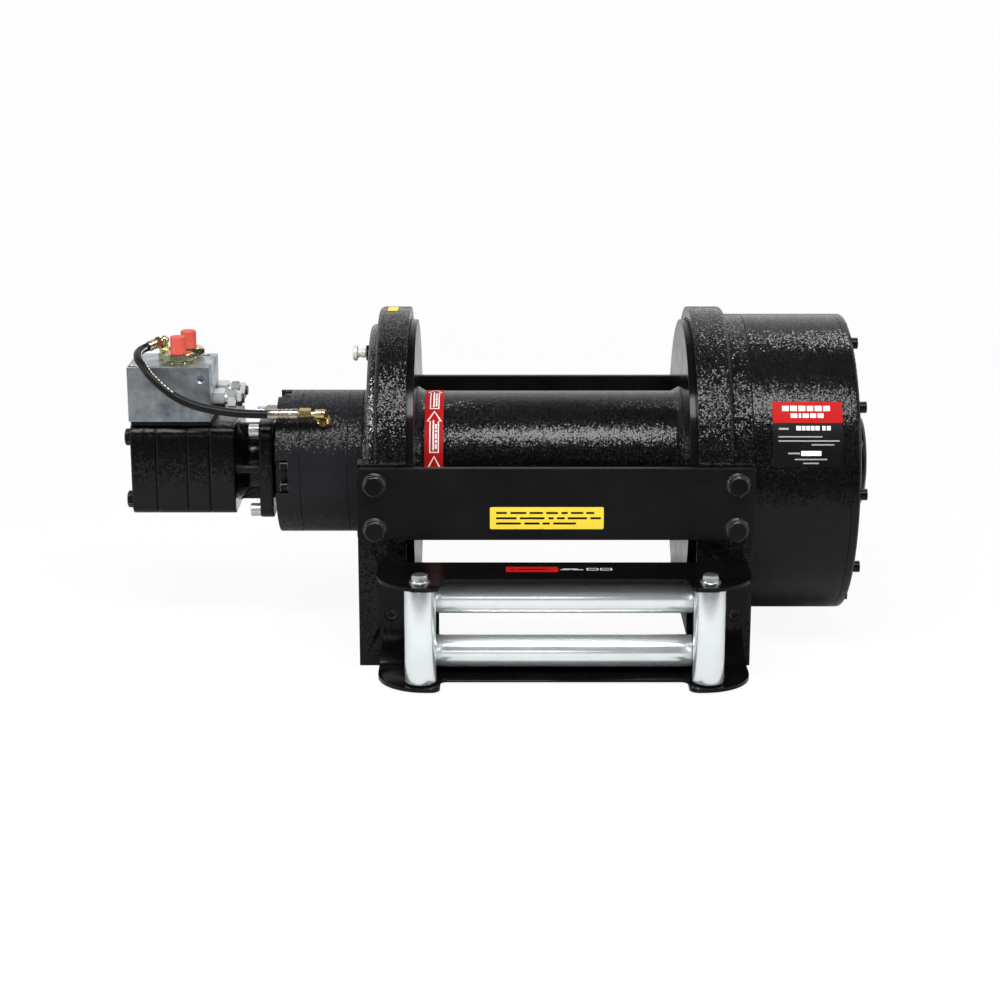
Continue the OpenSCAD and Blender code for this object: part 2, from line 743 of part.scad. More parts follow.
module drive_shaft() color("#b8b8b8") {
    difference() {
        at_axis() union() {
            bar(-brake_end_x + bearing_back, shaft_end_x, shaft_r);
            for (x = [-adapter_x, -brake_end_x + bearing_back])
                bar(x, x + bearing_w, bearing_r - race_t - 2 * ball_r - 2 * pass);
            bar(-stack_x - stack_len, -stack_x - side_gap, disc_in_r);
            slab(stage_1_x + side_gap / 2, stage_1_end - side_gap / 2) gear(gear_m, sun_n, sun_turn);
        }
        at_axis() bar(-brake_end_x, -brake_end_x + bearing_back + coupling_l, motor_shaft_r + seat);
    }
}

// Motor
module motor_outline() rounded([-motor_front_y, -motor_half], [motor_rear_y, motor_half], motor_corner);
module motor_bolt_places() at_axis()
    for (y = [motor_bolt_front_y, motor_bolt_rear_y], z = [-motor_bolt_z, motor_bolt_z])
        translate([0, y, z]) children();
module flange_bolt_places() at_axis()
    for (y = [-motor_flange_bolt, motor_flange_bolt], z = [-motor_flange_bolt, motor_flange_bolt])
        translate([0, y, z]) children();
module motor_bolt_holes(x0, x1) motor_bolt_places() bar(x0 - cut, x1 + cut, m16_r + seat);
module motor_section(x0, x1) difference() {
    at_axis() slab(-x1, -x0) motor_outline();
    motor_bolt_holes(-x1, -x0);
    children();
}
module motor_bores(x0, x1, r) for (y = [0, idler_y]) at_axis() translate([0, y, 0]) bar(-x1, -x0, r);
module motor_casting() color("#1b1b1b") difference() {
    union() {
        at_axis() slab(-mid_x, -front_x) motor_outline();
        at_axis() slab(-neck_x, -flange_face_x)
            rounded(-[1, 1] * motor_flange_half, [1, 1] * motor_flange_half, motor_flange_corner);
        at_axis() bar(-flange_face_x, -brake_end_x, pilot_r);
        at_axis() bar(-brake_end_x, -brake_end_x + spigot_len, spigot_r);
        turned() polygon([[0, -front_x], [neck_root_r, -front_x], [neck_r, -front_x + neck_len / 2],
            [neck_r, -neck_x], [0, -neck_x]]);
        for (a = [0 : 90 : 270]) at_axis() rotate([a, 0, 0])
            box([-front_x, 0, -neck_web / 2], [-neck_x, neck_root_r, neck_web / 2]);
    }
    at_axis() bar(-mid_x - cut, -brake_end_x + spigot_len + cut, motor_room_r);
    flange_bolt_places() bar(-neck_x - cut, -flange_face_x + cut, flange_screw_shank_r + seat);
    motor_bolt_holes(-mid_x, -front_x - motor_blind);
}
module motor_flange_bolts() color("#c9c9c4") flange_bolt_places() {
    bar(-neck_x - flange_screw_h, -neck_x, flange_screw_r);
    bar(-neck_x - cut, -flange_face_x, flange_screw_shank_r);
}
module motor_mid_plate() color("#1b1b1b") motor_section(mid_x, gear_x) {
    at_axis() bar(-gear_x - cut, -mid_x + cut, motor_shaft_r + run);
    at_axis() translate([0, idler_y, 0]) bar(-gear_x - cut, -gear_x + motor_blind, motor_shaft_r + run);
}
module motor_gear_housing() color("#1b1b1b") motor_section(gear_x, end_x)
    motor_bores(gear_x - cut, end_x + cut, motor_tip_r + pass);
module motor_end_cover() color("#1b1b1b") motor_section(end_x, tail_x) {
    motor_bores(end_x - cut, end_x + motor_blind, motor_shaft_r + run);
}
module motor_bolts() color("#1f1f1f") motor_bolt_places() {
    translate([-tail_x, 0, 0]) rotate([0, -90, 0]) cylinder(h = m16_head_h, r = m16_head_r, $fn = 6);
    bar(-tail_x - cut, -front_x - motor_blind, m16_r);
}
module motor_shaft() color("#bdbdbd") at_axis() {
    bar(-end_x - motor_blind + cut, -brake_end_x + coupling_l, motor_shaft_r);
    slab(-end_x + pass, -gear_x - pass) gear(motor_m, motor_n, 0);
}
module motor_idler_gear() color("#bdbdbd") at_axis() translate([0, idler_y, 0]) {
    bar(-end_x - motor_blind + cut, -gear_x + motor_blind - cut, motor_shaft_r);
    slab(-end_x + pass, -gear_x - pass) gear(motor_m, motor_n, 180 / motor_n);
}

// Manifold and its fittings
module manifold_spacer() color("#151515")
    box([manifold_x + spacer_inset, manifold_y + spacer_inset, manifold_z - spacer_t],
        [manifold_end_x - spacer_inset, manifold_y + manifold_d - spacer_inset, manifold_z]);
module manifold_block() color("#8e959b") difference() {
    box([manifold_x, manifold_y, manifold_z], [manifold_end_x, manifold_y + manifold_d, manifold_top]);
    for (p = port_places) translate([p[0], p[1], manifold_top - top_port_l])
        cylinder(h = top_port_l + cut, r = top_port_r);
    for (s = screw_shares)
        translate([manifold_x + s[0] * manifold_len, manifold_y + s[1] * manifold_d,
            manifold_top - manifold_screw_l]) cylinder(h = manifold_screw_l + cut, r = manifold_screw_r);
    gauge_x = manifold_end_x - gauge_inset;
    front_hole(gauge_x, manifold_y, manifold_top - gauge_drop, gauge_l, gauge_r);
    front_hole(gauge_x, manifold_y, manifold_top - gauge_drop, gauge_sink_l, gauge_sink_r);
    translate([manifold_end_x, side_port_y, manifold_top - side_port_drop]) bar(-gauge_l, cut, side_port_r);
}
module relief_cartridge() color("#c4c6c6") translate([manifold_end_x, cartridge_y, cartridge_z])
    for (s = cartridge_steps) translate([s[0], 0, 0]) rotate([0, 90, 0])
        cylinder(h = s[1] - s[0], r = s[2], $fn = s[3]);
module port_fittings() color("#a8985a") for (p = port_places) translate([p[0], p[1], manifold_top])
    difference() {
        union() {
            cylinder(h = hex_collar_h, r = hex_collar_r);
            translate([0, 0, hex_collar_h]) cylinder(h = hex_fit_h - hex_collar_h, r = hex_fit_r, $fn = 6);
            translate([0, 0, hex_fit_h - cut]) cylinder(h = port_cap_h / 2, r = cap_bore_r - seat);
        }
        translate([0, 0, -cut]) cylinder(h = hex_fit_h + port_cap_h, r = fit_bore_r);
    }
module port_caps() color("#d8443a") for (p = port_places) translate([p[0], p[1], manifold_top + hex_fit_h])
    difference() {
        cylinder(h = port_cap_h, r = port_cap_r);
        translate([0, 0, -cut]) cylinder(h = port_cap_h - port_cap_wall + cut, r = cap_bore_r);
    }
module hose_fitting_top() color("#a8985a") {
    base = [elbow_top[0], elbow_top[1], manifold_top];
    back = unit(elbow_top - hose_from);
    translate(base) cylinder(h = elbow_hex_h, r = elbow_hex_r, $fn = 6);
    rod(base, elbow_top, stem_r);
    translate(elbow_top) sphere(r = elbow_r);
    rod(hose_from + back * seat, elbow_top, stem_r);
    rod(hose_from + back * seat, hose_from + back * ferrule_len / 2, ferrule_r);
}
module brake_hose() color("#1e1e1e") sweep(hose_points, hose_r, hose_sides, hose_side);
module hose_fitting_brake() color("#b5963f") {
    root = [brake_port_x, 0, axis_height];
    elbow = root + toward(port_angle, brake_r + brake_elbow_out);
    skin = root + toward(port_angle, brake_r + seat);
    rod(root + toward(port_angle, brake_r - brake_port_l), skin, brake_port_hole_r);
    rod(skin, root + toward(port_angle, brake_r + brake_hex_h), brake_hex_r, 6);
    rod(skin, elbow, stem_r);
    translate(elbow) sphere(r = elbow_r);
    translate(hose_to) {
        bar(seat, elbow[0] - hose_to[0], stem_r);
        bar(seat, ferrule_len, ferrule_r);
        translate([ferrule_len, 0, 0]) rotate([0, 90, 0])
            cylinder(h = ferrule_len / 2, r = swivel_hex_r, $fn = 6);
        bar(2 * ferrule_len, 2 * ferrule_len + ferrule_len / 2, swivel_r);
    }
}

// Gear case
module gear_case_ring() color("#1a1a1a") difference() {
    tube(right_x, ring_x, case_r, case_bore_r);
    cover_screw_holes(right_x, ring_x);
}
module ring_gear_housing() color("#141414") difference() {
    at_axis() difference() {
        bar(ring_x, case_x, case_r);
        slab(ring_x - cut, stage_1_end) gear(gear_m, ring_n, ring_turn, -1);
        bar(stage_1_end - cut, case_x + cut, case_bore_r);
    }
    cover_screw_holes(ring_x, case_x);
}
module gear_cover() color("#141414") difference() {
    turned() union() {
        translate([0, case_x]) square([case_r - cover_edge_r, gear_cover_t]);
        translate([0, case_x]) square([case_r, gear_cover_t - cover_edge_r]);
        translate([case_r - cover_edge_r, gear_cover_x - cover_edge_r]) circle(r = cover_edge_r);
    }
    cover_screw_holes(case_x, gear_cover_x);
    at_axis() for (p = around(hub_cap_screws, hub_cap_screw_r)) translate(p)
        bar(gear_cover_x - hub_cap_grip, gear_cover_x + cut, m12_r + seat);
}
module hub_cap() color("#141414") difference() {
    far = gear_cover_x + hub_cap_len;
    turned() polygon([[0, gear_cover_x], [hub_cap_r, gear_cover_x], [hub_cap_r, far - hub_cap_edge],
        [hub_cap_r - hub_cap_edge, far], [0, far]]);
    at_axis() for (p = around(hub_cap_screws, hub_cap_screw_r)) translate(p) {
        bar(gear_cover_x - cut, far + cut, m12_r + seat);
        bar(far - m12_head_h, far + cut, m12_head_r + pass);
    }
}
module carrier_pins(x0, x1, r) at_axis() for (a = planet_angles)
    translate(toward(a, orbit_r)) bar(x0, x1, r);
module carrier_2() color("#9d9d9d") {
    tube(hub_right_x, stage_2_x, carrier_r, hub_bore_r);
    tube(stage_2_end, carrier_2_end, carrier_r, sun_room_r);
    carrier_pins(stage_2_x - cut, stage_2_end + cut, pin_2_r);
}
module carrier_1() color("#9d9d9d") {
    tube(carrier_1_x, stage_1_x, carrier_r, hub_bore_r);
    tube(stage_1_end, carrier_1_end, carrier_r, sun_room_r);
    carrier_pins(stage_1_x - cut, stage_1_end + cut, pin_1_r);
    at_axis() difference() {
        union() {
            slab(stage_2_x + side_gap / 2, stage_2_end) gear(gear_m, sun_n, sun_turn);
            bar(stage_2_end - cut, carrier_1_x + cut, sun_room_r - 2 * side_gap);
        }
        bar(stage_2_x, stage_1_x, hub_bore_r);
    }
}
module planet(x, w, i, bore_r) color("#a9a9a9") at_axis() translate(toward(planet_angles[i], orbit_r))
    difference() {
        slab(x + side_gap, x + side_gap + w) gear(gear_m, planet_n, planet_angles[i]);
        bar(x, x + w + 2 * side_gap, bore_r + run);
    }

// Fairlead
function lug_side() = let (h = fair_w / 2, in = upright_pitch / 2 - fair_lug_in)
    concat([[h, fair_plate_y]], arc([h - fair_lug_r, fair_lug_y + fair_lug_r], fair_lug_r, 0, -90, 10),
    arc([in + fair_lug_corner, fair_lug_y + fair_lug_corner], fair_lug_corner, 270, 180),
    arc([in - fair_lug_fillet, fair_mid_y - fair_lug_fillet], fair_lug_fillet, 0, 90));
module fair_outline() translate([fair_x, 0]) polygon(concat(lug_side(),
    [for (i = [len(lug_side()) - 1 : -1 : 0]) [-lug_side()[i][0], lug_side()[i][1]]]));
module upright_places() for (s = [-1, 1])
    translate([fair_x + s * upright_pitch / 2, upright_y, 0]) children();
module level_places() for (s = [-1, 1])
    translate([fair_x, level_y, level_mid_z + s * level_pitch / 2]) children();
module fairlead_frame() color("#141414") difference() {
    union() {
        for (z = [fair_low, fair_high - fair_t]) translate([0, 0, z]) linear_extrude(fair_t) fair_outline();
        wall(fair_plate_y, fair_back_y) difference() {
            rounded([fair_x - fair_w / 2, fair_low], [fair_x + fair_w / 2, fair_high], fair_t / 2);
            rounded([fair_x - window_half_w, window_low_z], [fair_x + window_half_w, window_high_z],
                window_corner);
        }
        for (s = [-1, 1]) translate([fair_x + s * (cheek_half - fair_t / 2), 0, 0])
            box([-fair_t / 2, cheek_y, fair_low + fair_t / 2],
                [fair_t / 2, fair_plate_y + fair_t / 2, fair_high - fair_t / 2]);
    }
    for (s = [-1, 1])
        front_hole(fair_x + s * fair_hole_x, fair_plate_y, fair_hole_z, fair_t + cut, fair_hole_r + seat);
    upright_places() translate([0, 0, -cut]) cylinder(h = fair_high + 2 * cut, r = m16_r + seat);
    level_places() bar(-cheek_half - cut, cheek_half + cut, level_pin_r + seat);
}
module roller_bolts() color("#c8ccce") upright_places() translate([0, 0, fair_high])
    hex_bolt(m16_r, m16_head_r, m16_head_h, m16_washer_r, m16_washer_t, fair_high - fair_low);
module roller_pins() color("#b4b8ba") level_places() {
    bar(-cheek_half - pin_end, cheek_half + pin_end, level_pin_r);
    bar(-cheek_half - pin_head_t, -cheek_half, pin_head_r);
    bar(cheek_half, cheek_half + pin_head_t, pin_head_r);
}
module roller(h, r, bore_r) rotate_extrude() polygon([[bore_r + run, 0], [r - roller_edge, 0],
    [r, roller_edge], [r, h - roller_edge], [r - roller_edge, h], [bore_r + run, h]]);
module upright_roller(s) color("#d5dadd")
    translate([fair_x + s * upright_pitch / 2, upright_y, fair_low + fair_t + roller_gap])
    roller(fair_high - fair_low - 2 * fair_t - 2 * roller_gap, upright_r, m16_r);
module level_roller(s) color("#d5dadd")
    translate([fair_x - cheek_half + fair_t + roller_gap, level_y, level_mid_z + s * level_pitch / 2])
    rotate([0, 90, 0]) roller(2 * (cheek_half - fair_t - roller_gap), level_r, level_pin_r);

// Bare label plates
module label_plates() color("#d9c12b") {
    wall(-support_half - plate_t - label_t, -support_half - plate_t)
        rounded(yellow_lo, yellow_lo + yellow_size, label_corner);
    intersection() {
        tube(name_lo_x, name_hi_x, case_r + label_t, case_r + seat);
        at_axis() slab(name_lo_x, name_hi_x)
            polygon([[0, 0], for (a = name_angles) 2 * case_r * [cos(a), sin(a)]]);
    }
}

// Plunger that drags on the left flange
module at_plunger() translate([0, plunger_y, plunger_z]) children();
module plunger_body() color("#3a3a3a") at_plunger() difference() {
    union() {
        bar(-cover_x - cut, -sleeve_in_x, sleeve_r);
        translate([-cover_x - sleeve_hex_h, 0, 0]) rotate([0, 90, 0])
            cylinder(h = sleeve_hex_h, r = sleeve_hex_r, $fn = 6);
    }
    bar(-sleeve_lid_x, -sleeve_in_x + cut, sleeve_wall_r);
    bar(-cover_x - sleeve_hex_h - cut, -sleeve_lid_x + cut, plunger_r + run);
}
module plunger_spring() color("#b8b8b8") {
    x0 = -sleeve_lid_x + spring_wire_r + pass;
    x1 = -shoulder_x - spring_wire_r - pass;
    steps = spring_turns * spring_ring_n;
    points = [for (i = [0 : steps]) let (a = 360 * i / spring_ring_n) [x0 + (x1 - x0) * i / steps,
        plunger_y + spring_coil_r * cos(a), plunger_z + spring_coil_r * sin(a)]];
    sweep(points, spring_wire_r, spring_sides, [1, 0, 0]);
}
module drag_plunger() color("#dcdcd6") at_plunger() {
    knob_x = -cover_x - sleeve_hex_h - knob_gap;
    bar(-pad_x - pad_t, -pad_x, pad_r);
    bar(knob_x - cut, -pad_x - cut, plunger_r);
    bar(-shoulder_x, -sleeve_in_x, shoulder_r);
    bar(knob_x - knob_len, knob_x, knob_neck_r);
    bar(knob_x - knob_rim / 2, knob_x, knob_low_r);
    bar(knob_x - knob_len, knob_x - knob_len + knob_rim, knob_r);
}

left_support();
right_support();
front_tie_plate();
rear_tie_plate();
tie_bolts();
drum_bushes();
bearing_cover();
cap_screws();
brake_adapter();
brake_housing();
brake_end_housing();
brake_separators();
brake_springs();
shaft_bearings();
motor_casting();
motor_flange_bolts();
motor_mid_plate();
motor_gear_housing();
motor_end_cover();
motor_bolts();
manifold_spacer();
manifold_block();
relief_cartridge();
port_fittings();
port_caps();
hose_fitting_top();
brake_hose();
hose_fitting_brake();
gear_case_ring();
ring_gear_housing();
gear_cover();
hub_cap();
fairlead_frame();
roller_bolts();
roller_pins();
label_plates();
plunger_body();
plunger_spring();
drum_barrel();
drum_flange_left();
drum_flange_right();
rope_clamp();
carrier_2();
drive_shaft();
friction_discs();
motor_shaft();
carrier_1();
planet(stage_1_x, planet_1_w, 0, pin_1_r);  // planet_1a
planet(stage_1_x, planet_1_w, 1, pin_1_r);  // planet_1b
planet(stage_1_x, planet_1_w, 2, pin_1_r);  // planet_1c
planet(stage_2_x, planet_2_w, 0, pin_2_r);  // planet_2a
planet(stage_2_x, planet_2_w, 1, pin_2_r);  // planet_2b
planet(stage_2_x, planet_2_w, 2, pin_2_r);  // planet_2c
motor_idler_gear();
upright_roller(-1);  // roller_left
upright_roller(1);  // roller_right
level_roller(1);  // roller_upper
level_roller(-1);  // roller_lower
brake_piston();
drag_plunger();
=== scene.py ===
import math

import bmesh
import bpy
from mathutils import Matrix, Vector


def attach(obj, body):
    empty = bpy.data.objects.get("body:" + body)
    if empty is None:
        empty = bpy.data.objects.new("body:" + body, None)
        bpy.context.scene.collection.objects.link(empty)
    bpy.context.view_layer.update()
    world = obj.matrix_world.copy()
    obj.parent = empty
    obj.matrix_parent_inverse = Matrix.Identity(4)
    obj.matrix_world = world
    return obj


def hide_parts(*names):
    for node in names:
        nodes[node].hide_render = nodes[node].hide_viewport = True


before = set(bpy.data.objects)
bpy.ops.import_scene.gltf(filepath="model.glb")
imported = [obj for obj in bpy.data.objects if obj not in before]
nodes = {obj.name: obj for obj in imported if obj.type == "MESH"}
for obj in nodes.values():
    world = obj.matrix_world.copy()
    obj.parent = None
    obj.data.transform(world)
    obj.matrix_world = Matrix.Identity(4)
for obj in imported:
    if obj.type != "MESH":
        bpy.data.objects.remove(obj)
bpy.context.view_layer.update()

print("camera and lights")
cameraSettings = {
    "place": (-0.08, -3.5233, 1.1462),
    "downTilt": 15,
    "lens": 79.2,
    "sensor": 36,
    "clip": (0.05, 200),
}
lampSettings = {
    # name: place, aim, width, height, watts
    "overheadBox": ((-0.12, -1.72, 2.87), (0.0, 0.0, 0.3), 2.5, 0.9, 120),
    "rearLeftBox": ((-0.87, 1.5, 2.9), (-0.87, 0.0, 0.3), 0.9, 0.3, 4),
    "rearRightBox": ((1.04, 1.5, 2.9), (1.04, 0.0, 0.3), 0.74, 0.3, 12),
    "leftBox": ((-2.9, -0.9, 1.25), (-0.3, 0.0, 0.3), 0.7, 1.5, 26),
    "rightBox": ((2.9, -1.1, 1.35), (0.4, 0.0, 0.3), 0.6, 1.5, 20),
    "lowBox": ((-0.4, -3.6, 0.7), (0.0, 0.0, 0.2), 1.6, 0.4, 5),
}
worldSettings = {
    "seen": 1.0,
    "lighting": 0.27,
    "rearGlow": 0.9,
    "frontGlow": 0.07,
    "zenithGlow": 0.035,
    # heights on the sky where its glow starts, fades and ends: 0 is straight down, 1 is straight up
    "glowHeights": (0.5, 0.83, 0.93),
    "rearBlend": (-0.3, 0.3),
    "lightingBlue": 1.02,
    "zenithBlue": 1.04,
}
floorSettings = {
    "size": 80.0,
    "colour": (0.86, 0.86, 0.85, 1),
    "seenWhite": (0.93, 0.99),
    "seenFrom": 0.9,
    "seenTo": 4.0,
    # painted reflection shade: the floor's colour as mirrors see it is painted by its place in depth, darker far in
    # front, a little darker under the object and brighter behind it
    "paintedReflectionShade": ((-1.35, 0.09), (-0.95, 0.6), (-0.33, 0.6), (-0.15, 0.5), (0.15, 0.5), (0.6, 0.95)),
}


def aimAt(thing, target):
    direction = Vector(target) - thing.location
    thing.rotation_mode = "QUATERNION"
    thing.rotation_quaternion = direction.to_track_quat("-Z", "Y")


def makeCamera(settings):
    data = bpy.data.cameras.new("photoCamera")
    data.lens = settings["lens"]
    data.sensor_width = settings["sensor"]
    data.clip_start, data.clip_end = settings["clip"]
    camera = bpy.data.objects.new("photoCamera", data)
    camera.location = settings["place"]
    camera.rotation_euler = (math.radians(90 - settings["downTilt"]), 0, 0)
    bpy.context.scene.collection.objects.link(camera)
    bpy.context.scene.camera = camera


def makeLamps(settings):
    for name, (place, target, width, height, watts) in settings.items():
        data = bpy.data.lights.new(name, "AREA")
        data.shape = "RECTANGLE"
        data.size = width
        data.size_y = height
        data.energy = watts
        lamp = bpy.data.objects.new(name, data)
        lamp.location = place
        bpy.context.scene.collection.objects.link(lamp)
        aimAt(lamp, target)


def setInputs(tree, made, values):
    # an input given as a socket is linked, anything else is set
    for key, value in values.items():
        if isinstance(value, bpy.types.NodeSocket):
            tree.links.new(value, made.inputs[key])
        else:
            made.inputs[key].default_value = value


def put(tree, kind, inputs=None, **settings):
    made = tree.nodes.new(kind)
    for key, value in settings.items():
        setattr(made, key, value)
    setInputs(tree, made, inputs or {})
    return made


def maths(tree, operation, first, second):
    return put(tree, "ShaderNodeMath", {0: first, 1: second}, operation=operation).outputs[0]


def vectorMaths(tree, operation, first, second):
    return put(tree, "ShaderNodeVectorMath", {0: first, 1: second}, operation=operation)


def blended(tree, share, first, second):
    return put(tree, "ShaderNodeMix", {0: share, 6: first, 7: second}, data_type="RGBA").outputs[2]


def ranged(tree, value, low, high, newLow, newHigh):
    made = put(tree, "ShaderNodeMapRange", {"Value": value, "From Min": low, "From Max": high,
                                            "To Min": newLow, "To Max": newHigh})
    return made.outputs[0]


def makeWorld(settings):
    world = bpy.data.worlds.new("studioWorld")
    bpy.context.scene.world = world
    world.use_nodes = True
    tree = world.node_tree
    tree.nodes.clear()
    path = put(tree, "ShaderNodeLightPath")
    where = put(tree, "ShaderNodeTexCoord")
    split = put(tree, "ShaderNodeSeparateXYZ", {0: where.outputs["Generated"]})
    rising = ranged(tree, split.outputs[2], -1, 1, 0, 1)
    starts, fades, ends = settings["glowHeights"]
    top = settings["zenithGlow"]
    ramps = []
    for glow in (settings["frontGlow"], settings["rearGlow"]):
        ramp = put(tree, "ShaderNodeValToRGB", {0: rising})
        stops = ramp.color_ramp.elements
        stops[0].position, stops[0].color = starts, (glow, glow, glow, 1)
        stops[1].position, stops[1].color = ends, (top, top, top * settings["zenithBlue"], 1)
        stops.new(fades).color = (glow, glow, glow, 1)
        ramps.append(ramp.outputs[0])
    rear = ranged(tree, split.outputs[1], *settings["rearBlend"], 0, 1)
    mirrored = blended(tree, rear, *ramps)
    direct = maths(tree, "MAXIMUM", path.outputs["Is Camera Ray"], path.outputs["Is Transmission Ray"])
    level = settings["seen"]
    light = settings["lighting"]
    around = (light, light, light * settings["lightingBlue"], 1)
    seen = blended(tree, path.outputs["Is Glossy Ray"], around, mirrored)
    shown = blended(tree, direct, seen, (level, level, level, 1))
    background = put(tree, "ShaderNodeBackground", {"Color": shown, "Strength": 1})
    put(tree, "ShaderNodeOutputWorld", {0: background.outputs[0]})


def makeFloor(settings):
    bm = bmesh.new()
    bmesh.ops.create_grid(bm, x_segments=1, y_segments=1, size=settings["size"] / 2)
    mesh = bpy.data.meshes.new("studioFloor")
    bm.to_mesh(mesh)
    bm.free()
    floor = bpy.data.objects.new("studioFloor", mesh)
    bpy.context.scene.collection.objects.link(floor)
    material = bpy.data.materials.new("paleFloor")
    material.use_nodes = True
    tree = material.node_tree
    tree.nodes.clear()
    path = put(tree, "ShaderNodeLightPath")
    where = put(tree, "ShaderNodeTexCoord").outputs["Object"]
    depth = put(tree, "ShaderNodeSeparateXYZ", {0: where}).outputs[1]
    # the floor's colour in reflections is painted by depth: painted shade under the object and far in front, painted
    # light behind it
    (start, share), *later = settings["paintedReflectionShade"]
    for place, level in later:
        share = ranged(tree, depth, start, place, share, level)
        start = place
    mirrored = put(tree, "ShaderNodeCombineColor", {0: share, 1: share, 2: share}).outputs[0]
    shown = blended(tree, path.outputs["Is Glossy Ray"], settings["colour"], mirrored)
    matte = put(tree, "ShaderNodeBsdfDiffuse", {"Color": shown})
    white = put(tree, "ShaderNodeEmission", {"Color": (1, 1, 1, 1), "Strength": 1})
    direct = maths(tree, "MAXIMUM", path.outputs["Is Camera Ray"], path.outputs["Is Transmission Ray"])
    near, far = settings["seenWhite"]
    away = put(tree, "ShaderNodeVectorMath", {0: where}, operation="LENGTH").outputs["Value"]
    paleness = ranged(tree, away, settings["seenFrom"], settings["seenTo"], near, far)
    mixed = put(tree, "ShaderNodeMixShader", {0: maths(tree, "MULTIPLY", direct, paleness),
                                              1: matte.outputs[0], 2: white.outputs[0]})
    put(tree, "ShaderNodeOutputMaterial", {0: mixed.outputs[0]})
    mesh.materials.append(material)


makeCamera(cameraSettings)
makeLamps(lampSettings)
makeWorld(worldSettings)
makeFloor(floorSettings)
bpy.context.scene.view_settings.view_transform = "Standard"

print("finishes")
paintSkinSettings = {
    "borderSoftness": 0.12, "facetLean": 3, "hollowScale": 1.7, "hollowDepth": 0.35,
    "dustScale": 9, "dustRange": (0.42, 0.72), "roughScale": 31, "roughRange": (0.3, 0.7),
}
metalSkinSettings = {"stainRange": (0.35, 0.65), "roughRange": (0.35, 0.65)}
# edges of painted parts lighten toward a pale bare-metal colour: partly wear, partly a painted highlight along the
# edges
edgeWearAndHighlightSettings = {"bare": (0.6, 0.6, 0.58, 1), "corner": 0.75, "flat": 0.97}


def newGroup(name, inputs, outputs):
    tree = bpy.data.node_groups.new(name, "ShaderNodeTree")
    for label, kind, value in inputs:
        made = tree.interface.new_socket(label, in_out="INPUT", socket_type="NodeSocket" + kind)
        if value is not None:
            made.default_value = value
    for label, kind in outputs:
        tree.interface.new_socket(label, in_out="OUTPUT", socket_type="NodeSocket" + kind)
    return tree, put(tree, "NodeGroupInput").outputs, put(tree, "NodeGroupOutput").inputs


def noise(tree, vector, scale, detail=3, rough=0.5):
    return put(tree, "ShaderNodeTexNoise", {"Vector": vector, "Scale": scale, "Detail": detail,
                                            "Roughness": rough}).outputs["Fac"]


def skinRoughness(tree, given, value, settings):
    low, high = settings["roughRange"]
    return ranged(tree, value, low, high, given["Rough Low"], given["Rough High"])


def makePaintSkin(settings):
    # sprayed paint: the grain of the casting below it, an orange peel and a little dust
    tree, given, out = newGroup("paintSkin", [
        ("Vector", "Vector", None), ("Paint", "Color", (0.01, 0.01, 0.01, 1)),
        ("Dust", "Color", (0.12, 0.11, 0.1, 1)), ("Dust Amount", "Float", 0.1),
        ("Grain Scale", "Float", 150), ("Grain Depth", "Float", 1),
        ("Peel Scale", "Float", 400), ("Peel Depth", "Float", 0.3),
        ("Rough Low", "Float", 0.2), ("Rough High", "Float", 0.35)],
        [("Color", "Color"), ("Roughness", "Float"), ("Height", "Float")])
    cells = put(tree, "ShaderNodeTexVoronoi", {
        "Vector": given["Vector"], "Scale": given["Grain Scale"], "Smoothness": settings["borderSoftness"]},
        feature="SMOOTH_F1").outputs
    # every grain is a small facet that leans its own way
    within = vectorMaths(tree, "SUBTRACT", given["Vector"], cells["Position"]).outputs[0]
    lean = vectorMaths(tree, "SUBTRACT", cells["Color"], (0.5, 0.5, 0.5)).outputs[0]
    tilt = vectorMaths(tree, "DOT_PRODUCT", within, lean).outputs["Value"]
    rise = maths(tree, "MULTIPLY", tilt, given["Grain Scale"])
    facet = maths(tree, "MULTIPLY", rise, settings["facetLean"])
    bumps = noise(tree, given["Vector"], maths(tree, "MULTIPLY", given["Grain Scale"], settings["hollowScale"]), 2)
    hollow = maths(tree, "MULTIPLY", maths(tree, "ADD", cells["Distance"], bumps), settings["hollowDepth"])
    grain = maths(tree, "MULTIPLY", maths(tree, "ADD", facet, hollow), given["Grain Depth"])
    peel = maths(tree, "MULTIPLY", noise(tree, given["Vector"], given["Peel Scale"], 1), given["Peel Depth"])
    tree.links.new(maths(tree, "ADD", grain, peel), out["Height"])
    cloud = noise(tree, given["Vector"], settings["dustScale"], 5, 0.6)
    dusty = maths(tree, "MULTIPLY", ranged(tree, cloud, *settings["dustRange"], 0, 1), given["Dust Amount"])
    tree.links.new(blended(tree, dusty, given["Paint"], given["Dust"]), out["Color"])
    worn = noise(tree, given["Vector"], settings["roughScale"], 3)
    tree.links.new(skinRoughness(tree, given, worn, settings), out["Roughness"])
    return tree


